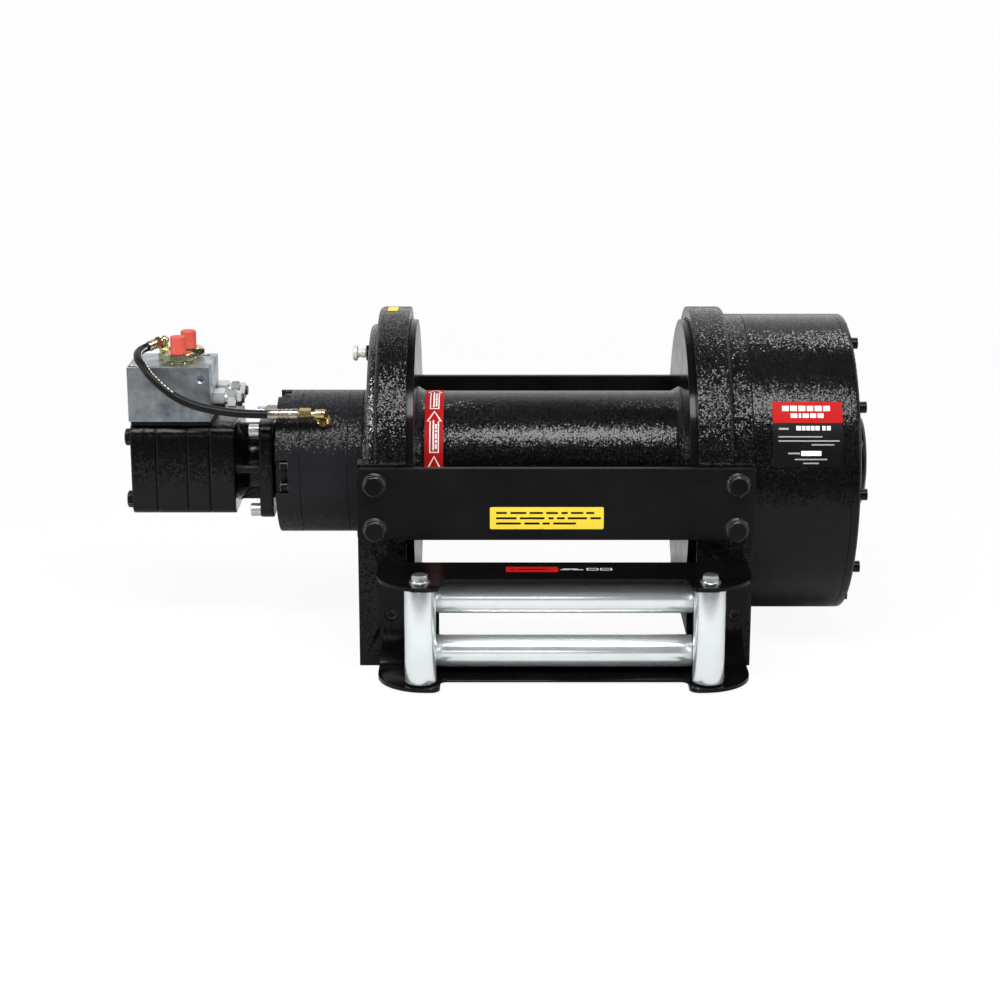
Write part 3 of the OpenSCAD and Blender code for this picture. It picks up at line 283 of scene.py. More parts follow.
def makeMetalSkin(settings):
    # plated or turned metal: clouds in the plating and fine tool streaks
    tree, given, out = newGroup("metalSkin", [
        ("Vector", "Vector", None), ("Streak Vector", "Vector", None),
        ("Metal", "Color", (0.6, 0.6, 0.6, 1)), ("Stain", "Color", (0.4, 0.4, 0.4, 1)),
        ("Cloud Scale", "Float", 25), ("Stain Amount", "Float", 0.5), ("Streak Depth", "Float", 0.5),
        ("Rough Low", "Float", 0.2), ("Rough High", "Float", 0.4)],
        [("Color", "Color"), ("Roughness", "Float"), ("Height", "Float")])
    cloud = noise(tree, given["Vector"], given["Cloud Scale"], 5, 0.62)
    streaks = noise(tree, given["Streak Vector"], 1, 4, 0.7)
    stained = maths(tree, "MULTIPLY", ranged(tree, cloud, *settings["stainRange"], 0, 1), given["Stain Amount"])
    tree.links.new(blended(tree, stained, given["Metal"], given["Stain"]), out["Color"])
    mixed = maths(tree, "ADD", maths(tree, "MULTIPLY", cloud, 0.5), maths(tree, "MULTIPLY", streaks, 0.5))
    tree.links.new(skinRoughness(tree, given, mixed, settings), out["Roughness"])
    tree.links.new(maths(tree, "MULTIPLY", streaks, given["Streak Depth"]), out["Height"])
    return tree


paintSkin = makePaintSkin(paintSkinSettings)
metalSkin = makeMetalSkin(metalSkinSettings)


def startMaterial(name, shader):
    material = bpy.data.materials.new(name)
    material.use_nodes = True
    tree = material.node_tree
    tree.nodes.clear()
    surface = put(tree, "ShaderNodeBsdfPrincipled", shader)
    put(tree, "ShaderNodeOutputMaterial", {0: surface.outputs[0]})
    where = put(tree, "ShaderNodeTexCoord").outputs["Object"]
    return material, tree, surface, where


def bumped(tree, height, depth, edge=0.0):
    # the bumps, and how far each place is from an edge: 1 on flat ground, less on a corner
    bump = put(tree, "ShaderNodeBump", {"Height": height, "Strength": 1, "Distance": depth})
    if not edge:
        return bump.outputs[0], 1.0
    rounded = put(tree, "ShaderNodeBevel", {"Radius": edge}, samples=4).outputs[0]
    tree.links.new(rounded, bump.inputs["Normal"])
    flat = put(tree, "ShaderNodeNewGeometry").outputs["Normal"]
    return bump.outputs[0], vectorMaths(tree, "DOT_PRODUCT", rounded, flat).outputs["Value"]


def makePaint(name, colour, grain=(150, 0), peel=(420, 0.3), rough=(0.22, 0.34), depth=0.0004,
              dust=0.08, specular=0.5, edge=0.0, wearAndHighlight=0.0):
    # wear and painted highlight: the edges are painted toward a pale bare-metal colour, partly as wear and partly as
    # a painted highlight along them
    material, tree, surface, where = startMaterial(name, {"Specular IOR Level": specular})
    skin = put(tree, "ShaderNodeGroup", node_tree=paintSkin)
    values = {"Vector": where, "Paint": (*colour, 1), "Grain Scale": grain[0], "Grain Depth": grain[1],
              "Peel Scale": peel[0], "Peel Depth": peel[1], "Rough Low": rough[0], "Rough High": rough[1],
              "Dust Amount": dust}
    setInputs(tree, skin, values)
    normal, flatness = bumped(tree, skin.outputs["Height"], depth, edge)
    shown = skin.outputs["Color"]
    if wearAndHighlight:
        bare = ranged(tree, flatness, edgeWearAndHighlightSettings["corner"], edgeWearAndHighlightSettings["flat"], wearAndHighlight, 0)
        shown = blended(tree, bare, shown, edgeWearAndHighlightSettings["bare"])
    tree.links.new(shown, surface.inputs["Base Color"])
    tree.links.new(skin.outputs["Roughness"], surface.inputs["Roughness"])
    tree.links.new(normal, surface.inputs["Normal"])
    return material


def makeMetal(name, colour, stain, cloud=25, stainAmount=0.5, streak=(300, 300, 300), streakDepth=0.3,
              rough=(0.2, 0.36), depth=0.0001, metallic=1.0):
    material, tree, surface, where = startMaterial(name, {"Metallic": metallic})
    stretched = put(tree, "ShaderNodeMapping", {"Vector": where, "Scale": streak})
    skin = put(tree, "ShaderNodeGroup", node_tree=metalSkin)
    values = {"Vector": where, "Streak Vector": stretched.outputs[0], "Metal": (*colour, 1),
              "Stain": (*stain, 1), "Cloud Scale": cloud, "Stain Amount": stainAmount,
              "Streak Depth": streakDepth, "Rough Low": rough[0], "Rough High": rough[1]}
    setInputs(tree, skin, values)
    tree.links.new(skin.outputs["Color"], surface.inputs["Base Color"])
    tree.links.new(skin.outputs["Roughness"], surface.inputs["Roughness"])
    tree.links.new(bumped(tree, skin.outputs["Height"], depth)[0], surface.inputs["Normal"])
    return material


castPaint = makePaint("castPaint", (0.0016, 0.0016, 0.0018), grain=(440, 1), peel=(900, 0.1), rough=(0.04, 0.06),
                      depth=0.0003, dust=0.008, specular=0.24, edge=0.003)
coverPaint = makePaint("coverPaint", (0.0016, 0.0016, 0.0018), grain=(440, 1), peel=(900, 0.1), rough=(0.06, 0.09),
                       depth=0.00034, dust=0.008, specular=0.9, edge=0.008)
motorPaint = makePaint("motorPaint", (0.0016, 0.0016, 0.0018), grain=(330, 1), peel=(900, 0.15),
                       rough=(0.07, 0.1), depth=0.0001, dust=0.005, specular=0.24, edge=0.008)
platePaint = makePaint("platePaint", (0.003, 0.003, 0.0032), grain=(60, 0.05), peel=(520, 0.22), rough=(0.3, 0.4),
                       depth=0.0003, dust=0.03, specular=0.15)
casePaint = makePaint("casePaint", (0.0014, 0.0014, 0.0016), grain=(500, 1), peel=(800, 0.2), rough=(0.04, 0.06),
                      depth=0.00013, dust=0.005, specular=0.22)
drumPaint = makePaint("drumPaint", (0.0014, 0.0014, 0.0016), grain=(500, 1), peel=(900, 0.2), rough=(0.04, 0.06),
                      depth=0.00013, dust=0.005, specular=0.26)
flangePaint = makePaint("flangePaint", (0.004, 0.004, 0.0043), grain=(60, 0.03), peel=(300, 0.1), rough=(0.1, 0.2),
                        depth=0.0002, dust=0.03, specular=0.15)
brakePaint = makePaint("brakePaint", (0.011, 0.011, 0.013), grain=(500, 1), peel=(600, 0.2), rough=(0.12, 0.17),
                       depth=0.00026, dust=0.008, specular=0.15)
fairleadPaint = makePaint("fairleadPaint", (0.0022, 0.0022, 0.0024), grain=(60, 0.03), peel=(420, 0.2),
                          rough=(0.14, 0.22), depth=0.00025, dust=0.02, specular=0.15, edge=0.0008)
# its edges are painted toward pale bare metal, partly wear and partly a painted highlight
boltBlack = makePaint("boltBlack", (0.003, 0.003, 0.0032), grain=(300, 0.1), peel=(900, 0.3), rough=(0.16, 0.24),
                      depth=0.0002, dust=0.01, specular=0.16, edge=0.0009, wearAndHighlight=0.8)
rollerZinc = makeMetal("rollerZinc", (0.86, 0.9, 0.91), (0.76, 0.81, 0.83), cloud=16, stainAmount=0.6,
                       streak=(60, 60, 60), streakDepth=0.15, rough=(0.18, 0.26), depth=0.00006, metallic=0.78)
brightZinc = makeMetal("brightZinc", (0.76, 0.78, 0.78), (0.56, 0.58, 0.59), cloud=60, rough=(0.28, 0.4))
manifoldSteel = makeMetal("manifoldSteel", (0.62, 0.65, 0.66), (0.22, 0.27, 0.32), cloud=24, stainAmount=1.0,
                          streak=(14, 900, 900), streakDepth=0.35, rough=(0.28, 0.42), depth=0.0001)
yellowZinc = makeMetal("yellowZinc", (0.74, 0.67, 0.4), (0.5, 0.52, 0.34), cloud=90, stainAmount=0.85,
                       rough=(0.16, 0.3))
turnedBrass = makeMetal("turnedBrass", (0.7, 0.55, 0.26), (0.42, 0.32, 0.14), cloud=90, rough=(0.14, 0.28))
crimpSteel = makeMetal("crimpSteel", (0.5, 0.46, 0.36), (0.34, 0.3, 0.22), cloud=120, rough=(0.2, 0.34))
groundSteel = makeMetal("groundSteel", (0.52, 0.52, 0.53), (0.4, 0.4, 0.41), cloud=40, rough=(0.2, 0.35))
bronzeBush = makeMetal("bronzeBush", (0.55, 0.38, 0.18), (0.4, 0.27, 0.13), cloud=50, rough=(0.25, 0.4))
springSteel = makeMetal("springSteel", (0.4, 0.4, 0.41), (0.25, 0.25, 0.26), cloud=90, rough=(0.28, 0.4))
liningBrown = makePaint("liningBrown", (0.13, 0.1, 0.06), grain=(500, 0.5), rough=(0.6, 0.75), depth=0.0003)
knobWhite = makeMetal("knobWhite", (0.62, 0.62, 0.57), (0.48, 0.48, 0.43), cloud=90, rough=(0.3, 0.45), metallic=0.25)
capRed = makePaint("capRed", (0.56, 0.075, 0.05), grain=(300, 0.15), peel=(900, 0.25), rough=(0.42, 0.52),
                   depth=0.0002, dust=0.04, specular=0.4)
hoseRubber = makePaint("hoseRubber", (0.003, 0.003, 0.003), grain=(500, 0.2), peel=(1200, 0.3),
                       rough=(0.34, 0.44), depth=0.0002, dust=0.03, specular=0.2)
hoseInk = makePaint("hoseInk", (0.72, 0.7, 0.62), rough=(0.5, 0.6), depth=0.00005)


def makePrint(name, colour, rough=(0.35, 0.45), dust=0.02, specular=0.5):
    return makePaint(name, colour, peel=(600, 0.1), rough=rough, depth=0.0001, dust=dust, specular=specular)


printYellow = makePrint("printYellow", (0.82, 0.62, 0.045), specular=0.2)
printRed = makePrint("printRed", (0.39, 0.007, 0.006), rough=(0.4, 0.5), specular=0.06)
printBlack = makePrint("printBlack", (0.003, 0.003, 0.003), rough=(0.3, 0.4), specular=0.15)
printWhite = makePrint("printWhite", (0.8, 0.79, 0.77), dust=0.03, specular=0.3)
printGrey = makePrint("printGrey", (0.3, 0.3, 0.3), dust=0.03)

print("shape helpers")
mm = 0.001  # the shapes below are written in millimetres, and the frame is in metres
# places that more than one piece uses
axleHeight = 270
tiePlateFace = 262
fairleadDeck = 169
manifoldTop = 440
hoseStart = (-650, -12, 463)
hoseEnd = (-450, -100.76, 370.76)
meshSettings = {
    # distances in metres within which points become one, and the angle in degrees that counts as flat
    "sameSpot": 0.000002, "sameCadSpot": 0.000004, "flatWithin": 0.4, "flatWeight": 90,
}


def addPiece(bm, name, body, materials, replaced=(), sharp=32, bevel=0.0, segments=2, even=False):
    # replaced: the CAD nodes that it stands for; sharp: the bend in degrees from which an edge stays sharp
    mesh = bpy.data.meshes.new(name)
    bmesh.ops.recalc_face_normals(bm, faces=bm.faces)
    bm.to_mesh(mesh)
    bm.free()
    for face in mesh.polygons:
        face.use_smooth = True
    mesh.set_sharp_from_angle(angle=math.radians(sharp))
    piece = bpy.data.objects.new(name, mesh)
    bpy.context.scene.collection.objects.link(piece)
    for material in materials:
        mesh.materials.append(material)
    if bevel:
        edge = piece.modifiers.new("softEdge", "BEVEL")
        edge.width = bevel
        edge.segments = segments
        edge.limit_method = "ANGLE"
        edge.angle_limit = math.radians(sharp)
        edge.use_clamp_overlap = False
        edge.harden_normals = True
    if even:
        # keeps large flat faces flat where a round bend runs into them
        flat = piece.modifiers.new("flatFaces", "WEIGHTED_NORMAL")
        flat.mode = "FACE_AREA"
        flat.weight = meshSettings["flatWeight"]
        flat.keep_sharp = True
    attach(piece, body)
    if replaced:
        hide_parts(*replaced)


def joined(bm, part, tint):
    # moves a finished solid into the piece that is being made
    bmesh.ops.remove_doubles(part, verts=part.verts, dist=meshSettings["sameSpot"])
    bmesh.ops.recalc_face_normals(part, faces=part.faces)
    for face in part.faces:
        face.material_index = tint
    mesh = bpy.data.meshes.new("solid")
    part.to_mesh(mesh)
    part.free()
    bm.from_mesh(mesh)
    bpy.data.meshes.remove(mesh)


def turned(bm, profile, base, axis, tint=0, steps=48):
    # profile: place along the axis and radius of each corner, in millimetres
    part = bmesh.new()
    axis = Vector(axis).normalized()
    side = axis.orthogonal().normalized()
    base = Vector(base)
    rim = [part.verts.new((base + axis * along + side * radius) * mm) for along, radius in profile]
    edges = [part.edges.new(pair) for pair in zip(rim, rim[1:])]
    bmesh.ops.spin(part, geom=rim + edges, cent=base * mm, axis=axis, angle=math.tau, steps=steps, use_merge=True)
    joined(bm, part, tint)


def rod(bm, low, high, radius, base, axis, tint=0, steps=48):
    turned(bm, [(low, 0), (low, radius), (high, radius), (high, 0)], base, axis, tint, steps)


def ball(bm, radius, centre, axis):
    turns = [math.radians(15 * k) for k in range(-6, 7)]
    turned(bm, [(radius * math.sin(a), radius * math.cos(a)) for a in turns], centre, axis)


def lofted(part, rings):
    # a closed skin over rings of the same number of points
    loops = [[part.edges.new((ring[k - 1], ring[k])) for k in range(len(ring))] for ring in rings]
    for low, high in zip(loops, loops[1:]):
        bmesh.ops.bridge_loops(part, edges=low + high)
    bmesh.ops.edgeloop_fill(part, edges=loops[0] + loops[-1])


hexSettings = {"sideSteps": 8, "flatShare": 0.93, "chamfer": 35}


def hexagon(bm, base, axis, lead, corner, height, tint=0, both=False):
    # a hexagon head; a cone takes off the corners of its outer face, and of both faces if asked
    part = bmesh.new()
    axis = Vector(axis).normalized()
    lead = Vector(lead)
    lead = (lead - axis * lead.dot(axis)).normalized()
    side = axis.cross(lead)
    base = Vector(base)
    sixth = math.tau / 6
    apothem = corner * math.cos(sixth / 2)
    flat = apothem * hexSettings["flatShare"]
    slope = math.tan(math.radians(hexSettings["chamfer"]))
    rings = [[], [], [], []]
    count = 6 * hexSettings["sideSteps"]
    for k in range(count):
        turn = math.tau * k / count
        reach = apothem / math.cos(turn % sixth - sixth / 2)
        drop = (reach - flat) * slope
        out = lead * math.cos(turn) + side * math.sin(turn)
        low = drop if both else 0
        for ring, (radius, along) in zip(rings, ((flat, 0), (reach, low), (reach, height - drop), (flat, height))):
            ring.append(part.verts.new((base + out * radius + axis * along) * mm))
    lofted(part, rings)
    joined(bm, part, tint)


def smoothRoute(points, parts):
    # a curve through all the points
    points = [Vector(point) for point in points]
    made = []
    for i in range(len(points) - 1):
        before, first, second = points[max(i - 1, 0)], points[i], points[i + 1]
        after = points[min(i + 2, len(points) - 1)]
        for k in range(parts):
            t = k / parts
            made.append(0.5 * (2 * first + (second - before) * t
                               + (2 * before - 5 * first + 4 * second - after) * t ** 2
                               + (3 * first - before - 3 * second + after) * t ** 3))
    return made + [points[-1]]


def routeFrames(route, lean):
    rows = []
    for i, point in enumerate(route):
        ahead = (route[min(i + 1, len(route) - 1)] - route[max(i - 1, 0)]).normalized()
        side = (lean - ahead * lean.dot(ahead)).normalized()
        rows.append((point, side, ahead.cross(side)))
    return rows


def swept(bm, frames, corners, tint=0):
    # corners: radius and turn of each corner of the section, round the route
    part = bmesh.new()
    rings = [[part.verts.new((point + (side * math.cos(a) + across * math.sin(a)) * r) * mm) for r, a in corners]
             for point, side, across in frames]
    lofted(part, rings)
    joined(bm, part, tint)


def onFront(y):
    return lambda u, v, h: Vector((u, y - h, v))


def onLevel(z):
    return lambda u, v, h: Vector((u, v, z + h))


def onRound(radius):
    # u runs along the drum axis and v round it, up from the front
    return lambda u, v, h: Vector((u, -(radius + h) * math.cos(v / radius),
                                   axleHeight + (radius + h) * math.sin(v / radius)))


def field(bm, outline, low, high, bend, tint, cuts=()):
    # a thin raised field; cuts are places along v where it may bend
    part = bmesh.new()
    rings = [[part.verts.new((u, v, h)) for u, v in outline] for h in (low, high)]
    lofted(part, rings)
    for place in cuts:
        bmesh.ops.bisect_plane(part, geom=part.verts[:] + part.edges[:] + part.faces[:],
                               plane_co=(0, place, 0), plane_no=(0, 1, 0))
    for vert in part.verts:
        vert.co = bend(*vert.co) * mm
    joined(bm, part, tint)


def roundedBox(left, low, right, high, corner, steps=4):
    points = []
    for u, v, start in ((right - corner, high - corner, 0), (left + corner, high - corner, 90),
                        (left + corner, low + corner, 180), (right - corner, low + corner, 270)):
        for k in range(steps + 1):
            turn = math.radians(start + 90 * k / steps)
            points.append((u + corner * math.cos(turn), v + corner * math.sin(turn)))
    return points


def boxOutline(left, low, right, high):
    return [(left, low), (right, low), (right, high), (left, high)]


def between(low, high, step):
    count = max(1, math.ceil((high - low) / step))
    return [low + (high - low) * k / count for k in range(1, count)]


def mergedCopy(name, whole):
    # whole: flat areas become one face each, so that the edges can be softened
    bm = bmesh.new()
    bm.from_mesh(nodes[name].data)
    bmesh.ops.remove_doubles(bm, verts=bm.verts, dist=meshSettings["sameCadSpot"])
    if whole:
        bmesh.ops.dissolve_limit(bm, angle_limit=math.radians(meshSettings["flatWithin"]), verts=bm.verts,
                                 edges=bm.edges)
    return bm


print("castings and plates")
softenedNodes = {
    # node: piece, material, slot, bevel
    "left_support": ("leftSupportCasting", castPaint, "cast_black", 0),
    "right_support": ("rightSupportCasting", castPaint, "cast_black", 0),
    "bearing_cover": ("bearingCoverCasting", coverPaint, "cast_black", 0.0014),
    "gear_case_ring": ("gearCaseRingCasting", castPaint, "cast_black", 0.0014),
    "front_tie_plate": ("frontTiePlateSteel", platePaint, "plate_black", 0.0012),
    "rear_tie_plate": ("rearTiePlateSteel", platePaint, "plate_black", 0.0012),
    "fairlead_frame": ("fairleadFrameSteel", fairleadPaint, "fairlead_black", 0),
    "brake_adapter": ("brakeAdapterTurned", brakePaint, "brake_black", 0.001),
    "brake_housing": ("brakeHousingTurned", brakePaint, "brake_black", 0.001),
    "brake_end_housing": ("brakeEndTurned", brakePaint, "brake_black", 0.0014),
    "motor_casting": ("motorFrontCasting", motorPaint, "motor_black", 0.0016),
    "motor_mid_plate": ("motorMidCasting", motorPaint, "motor_black", 0.001),
    "motor_gear_housing": ("motorGearCasting", motorPaint, "motor_black", 0.001),
    "motor_end_cover": ("motorEndCasting", motorPaint, "motor_black", 0.0016),
    "manifold_spacer": ("manifoldSpacerPlate", motorPaint, "spacer_black", 0.0008),
    "manifold_block": ("manifoldBlockMilled", manifoldSteel, "manifold_steel", 0.0009),
    "ring_gear_housing": ("gearHousingTurned", casePaint, "case_black", 0.001),
    "gear_cover": ("gearCoverTurned", casePaint, "case_black", 0.0008),
    "hub_cap": ("hubCapTurned", casePaint, "case_black", 0),
    "drum_barrel": ("drumBarrelTube", drumPaint, "drum_black", 0.0008),
    "drum_flange_left": ("drumFlangeLeftPlate", flangePaint, "flange_black", 0.001),
    "drum_flange_right": ("drumFlangeRightPlate", flangePaint, "flange_black", 0.001),
}
for nodeName, (pieceName, material, slotName, width) in softenedNodes.items():
    body = "drum" if nodeName.startswith("drum") else "winch_frame"
    addPiece(mergedCopy(nodeName, width > 0), pieceName, body, [material], [nodeName], bevel=width,
             even=width == 0)

print("bolts and screws")
tieBoltSettings = {
    "columns": (-273, 285),
    # face of each plate, and the heights of its bolts
    "rows": {-tiePlateFace: (225.2, 296.2), tiePlateFace: (267.5, 338.5)},
    "corner": 17.3, "height": 12.5, "shank": 10, "inside": 20,
    "washer": 18.5, "washerThick": 3, "washerEdge": (1.2, 1.7),
    # degrees that each head is turned
    "turns": (14, 71, 38, 95, 52, 20, 83, 44),
}
socketSettings = {
    "columns": (-249, 285), "high": 85, "face": -253, "radius": 9.6, "key": 5.8, "deep": 6, "length": 46,
}


def tieBolts(settings, socket):
    bm = bmesh.new()
    turns = iter(settings["turns"])
    for face, rows in settings["rows"].items():
        outward = Vector((0, math.copysign(1, face), 0))
        for column in settings["columns"]:
            for row in rows:
                base = Vector((column, face, row))
                washer, thick = settings["washer"], settings["washerThick"]
                drop, inward = settings["washerEdge"]
                turned(bm, [(0, settings["shank"]), (0, washer), (thick - drop, washer), (thick, washer - inward),
                            (thick, settings["shank"]), (0, settings["shank"])], base, outward)
                turn = math.radians(next(turns))
                lead = (math.cos(turn), 0, math.sin(turn))
                hexagon(bm, base + outward * thick, outward, lead, settings["corner"], settings["height"])
                rod(bm, -settings["inside"], thick, settings["shank"], base, outward, steps=24)
    for column in socket["columns"]:
        turned(bm, [(0, socket["key"]), (0, socket["radius"]), (-socket["length"], socket["radius"]),
                    (-socket["length"], 0), (-socket["deep"], 0), (-socket["deep"], socket["key"]),
                    (0, socket["key"])], (column, socket["face"], socket["high"]), (0, -1, 0))
    addPiece(bm, "tieBoltsForged", "winch_frame", [boltBlack], ["tie_bolts"], sharp=25)


motorBoltSettings = {
    "face": -677, "back": -527, "fronts": (-52, 81), "highs": (218, 322),
    "corner": 13.8, "height": 10, "shank": 8, "lead": (0, 0.2, 1),
}


def motorBolts(settings):
    bm = bmesh.new()
    length = settings["back"] - settings["face"]
    for y in settings["fronts"]:
        for z in settings["highs"]:
            base = (settings["face"], y, z)
            hexagon(bm, base, (-1, 0, 0), settings["lead"], settings["corner"], settings["height"])
            rod(bm, 0, length, settings["shank"], base, (1, 0, 0), steps=24)
    addPiece(bm, "motorBoltsForged", "winch_frame", [boltBlack], ["motor_bolts"], sharp=25)


flangeBoltSettings = {
    "face": -469, "back": -447, "spread": 66, "radius": 10.5, "height": 16, "shank": 6,
    "soft": 1.2, "key": 5, "deep": 7, "grooves": (3, 5, 7, 9, 11), "grooveHalf": 0.5, "grooveDeep": 0.35,
}


def flangeBolts(settings):
    bm = bmesh.new()
    radius, height, soft = settings["radius"], settings["height"], settings["soft"]
    half, inside = settings["grooveHalf"], settings["back"] - settings["face"]
    profile = [(-inside, 0), (-inside, settings["shank"]), (0, settings["shank"]), (0, radius)]
    for groove in settings["grooves"]:
        profile += [(groove - half, radius), (groove, radius - settings["grooveDeep"]), (groove + half, radius)]
    profile += [(height - soft, radius), (height, radius - soft), (height, settings["key"]),
                (height - settings["deep"], settings["key"]), (height - settings["deep"], 0)]
    for y in (-settings["spread"], settings["spread"]):
        for z in (axleHeight - settings["spread"], axleHeight + settings["spread"]):
            turned(bm, profile, (settings["face"], y, z), (-1, 0, 0))
    addPiece(bm, "motorFlangeScrews", "winch_frame", [brightZinc], ["motor_flange_bolts"],
             sharp=40)


tieBolts(tieBoltSettings, socketSettings)
motorBolts(motorBoltSettings)
flangeBolts(flangeBoltSettings)

print("manifold fittings and hose")
portSettings = {
    "places": ((-599.99, -25.97, 6), (-589.96, 24.96, -9)), "top": manifoldTop,
    "collar": 18, "collarHigh": 3, "corner": 26.5, "height": 13, "spigot": 10.9, "spigotHigh": 13.5, "sunk": 1,
}
capSettings = {
    "foot": 456, "radius": 13, "topRadius": 12.5, "height": 27, "soft": 2.4, "lip": 1.5, "wall": 2,
    "lipStep": (1, 0.5),
}


def portFittings(settings):
    bm = bmesh.new()
    for x, y, turn in settings["places"]:
        lead = (math.cos(math.radians(turn)), math.sin(math.radians(turn)), 0)
        base = Vector((x, y, settings["top"]))
        collar, high = settings["collar"], settings["collarHigh"]
        rod(bm, 0, high, collar, base, (0, 0, 1))
        hexagon(bm, base + Vector((0, 0, high)), (0, 0, 1), lead, settings["corner"], settings["height"], both=True)
        above = high + settings["height"]
        rod(bm, above - settings["sunk"], above + settings["spigotHigh"], settings["spigot"], base, (0, 0, 1))
    addPiece(bm, "portFittingsTurned", "winch_frame", [yellowZinc], ["port_fittings"], sharp=25)


def portCaps(settings, places):
    bm = bmesh.new()
    height, soft, radius, top = settings["height"], settings["soft"], settings["radius"], settings["topRadius"]
    inner = radius - settings["wall"]
    along, inward = settings["lipStep"]
    rim = [(height - soft * (1 - math.sin(a)), top - soft * (1 - math.cos(a)))
           for a in (math.radians(15 * k) for k in range(7))]
    for x, y, turn in places:
        skirt = [(0, inner), (0, radius), (settings["lip"], radius), (settings["lip"] + along, radius - inward)]
        hollow = [(height, 0), (height - settings["wall"], 0), (height - settings["wall"], inner), (0, inner)]
        turned(bm, skirt + rim + hollow, (x, y, settings["foot"]), (0, 0, 1))
    addPiece(bm, "portCapsMoulded", "winch_frame", [capRed], ["port_caps"], sharp=40)


cartridgeSettings = {
    "bases": ((-546, -20.02, 379), (-546, 33, 381)),
    # place along the axis, corner radius, height and turn of each hexagon
    "hexes": ((0, 16.5, 20, 12), (23, 16, 15, -9), (38, 13.4, 9, 20)),
    "neck": (19, 24, 10), "plug": (46.5, 50, 7.6), "socket": 4, "socketLow": 1,
}


def cartridge(settings):
    # the rear one is the photograph's second cartridge, half hidden behind the first
    bm = bmesh.new()
    for base in map(Vector, settings["bases"]):
        for along, corner, height, turn in settings["hexes"]:
            lead = (0, math.sin(math.radians(turn)), math.cos(math.radians(turn)))
            hexagon(bm, base + Vector((along, 0, 0)), (1, 0, 0), lead, corner, height, both=True)
        low, high, radius = settings["neck"]
        rod(bm, low, high, radius, base, (1, 0, 0))
        low, high, radius = settings["plug"]
        bottom, socket = low + settings["socketLow"], settings["socket"]
        turned(bm, [(low, 0), (low, radius), (high, radius), (high, socket), (bottom, socket), (bottom, 0)], base,
               (1, 0, 0), 1)
    addPiece(bm, "reliefCartridgeTurned", "winch_frame", [brightZinc, boltBlack],
             ["relief_cartridge"], sharp=25)


hoseSettings = {
    "start": hoseStart, "end": hoseEnd, "radius": 6.8, "sides": 24, "parts": 8, "lean": (0, 0.7, -0.7),
    "route": ((0, 0, 0), (-6, -4, -2), (-11, -13, -4), (-13, -25, -6), (-12, -38, -8), (-8, -53, -12),
              (0, -65, -18), (9, -75, -28), (20, -81, -38), (33, -86, -49), (48, -89, -60), (65, -90, -70),
              (85, -90, -78), (108, -90, -84), (133, -90, -88), (158, -89, -91), (182, -89, -92), (200, -89, -92)),
    "inkLean": (0.8, -0.5, 0.25), "inkFrom": 6, "inkTo": 82, "inkLong": 2, "inkGap": 1, "inkHalf": 1.1,
    "inkThick": 0.12,
}


def brakeHose(settings):
    bm = bmesh.new()
    start = Vector(settings["start"])
    route = settings["route"]
    drift = Vector(settings["end"]) - start - Vector(route[-1])
    points = [start + Vector(step) + drift * i / (len(route) - 1) for i, step in enumerate(route)]
    smooth = smoothRoute(points, settings["parts"])
    radius, sides = settings["radius"], settings["sides"]
    swept(bm, routeFrames(smooth, Vector(settings["lean"])), [(radius, math.tau * k / sides) for k in range(sides)])
    # the printed line is a row of thin raised dashes
    inked = routeFrames(smooth, Vector(settings["inkLean"]))
    spread, thick = settings["inkHalf"] / radius, settings["inkThick"]
    dash = ((radius - thick, -spread), (radius - thick, spread), (radius + thick, spread), (radius + thick, -spread))
    place = settings["inkFrom"]
    while place + settings["inkLong"] < settings["inkTo"]:
        swept(bm, inked[place:place + settings["inkLong"] + 1], dash, 1)
        place += settings["inkLong"] + settings["inkGap"]
    addPiece(bm, "brakeHoseTube", "winch_frame", [hoseRubber, hoseInk], ["brake_hose"])


ferruleShape = (
    # place along the ferrule and radius
    (0, 6.9), (0, 8.2), (1, 8.6), (17, 8.6), (18.5, 7.8), (21, 7.7), (22, 8.7), (24, 8.7), (25, 7.8), (28, 7.8),
    (29, 8.8), (32, 8.8), (33, 7.9), (35, 7.9), (36, 8.6), (47, 8.6), (48.5, 8), (48.5, 0),
)
topFittingSettings = {
    "hose": hoseStart, "elbow": (-626, 4, 471), "deck": manifoldTop,
    "ferrule": ((0, 6.9), (0, 8.1), (1, 8.5), (5, 8.5), (5.8, 7.8), (7.6, 7.8), (8.4, 8.5), (12, 8.5), (13, 7.6),
                (13, 0)),
    "swivel": (13.5, 9.6, 9), "stem": 5.6, "stemFrom": 12, "knee": 7.6, "seat": 0.05,
    # place, corner radius and height of each nut over the deck
    "nuts": ((0, 11, 11), (12, 9.4, 8)), "nutLead": (1, 0.3, 0),
}


def topFitting(settings):
    bm = bmesh.new()
    hose, elbow = Vector(settings["hose"]), Vector(settings["elbow"])
    back = (elbow - hose).normalized()
    turned(bm, settings["ferrule"], hose + back * settings["seat"], back, 1)
    along, corner, height = settings["swivel"]
    hexagon(bm, hose + back * along, back, (0, 0, 1), corner, height, both=True)
    rod(bm, settings["stemFrom"], (elbow - hose).length, settings["stem"], hose, back)
    ball(bm, settings["knee"], elbow, (0, 0, 1))
    base = Vector((elbow.x, elbow.y, settings["deck"]))
    rod(bm, 0, elbow.z - settings["deck"], settings["stem"], base, (0, 0, 1))
    for along, corner, height in settings["nuts"]:
        hexagon(bm, base + Vector((0, 0, along)), (0, 0, 1), settings["nutLead"], corner, height, both=True)
    addPiece(bm, "hoseFittingTopTurned", "winch_frame", [yellowZinc, crimpSteel],
             ["hose_fitting_top"], sharp=28)


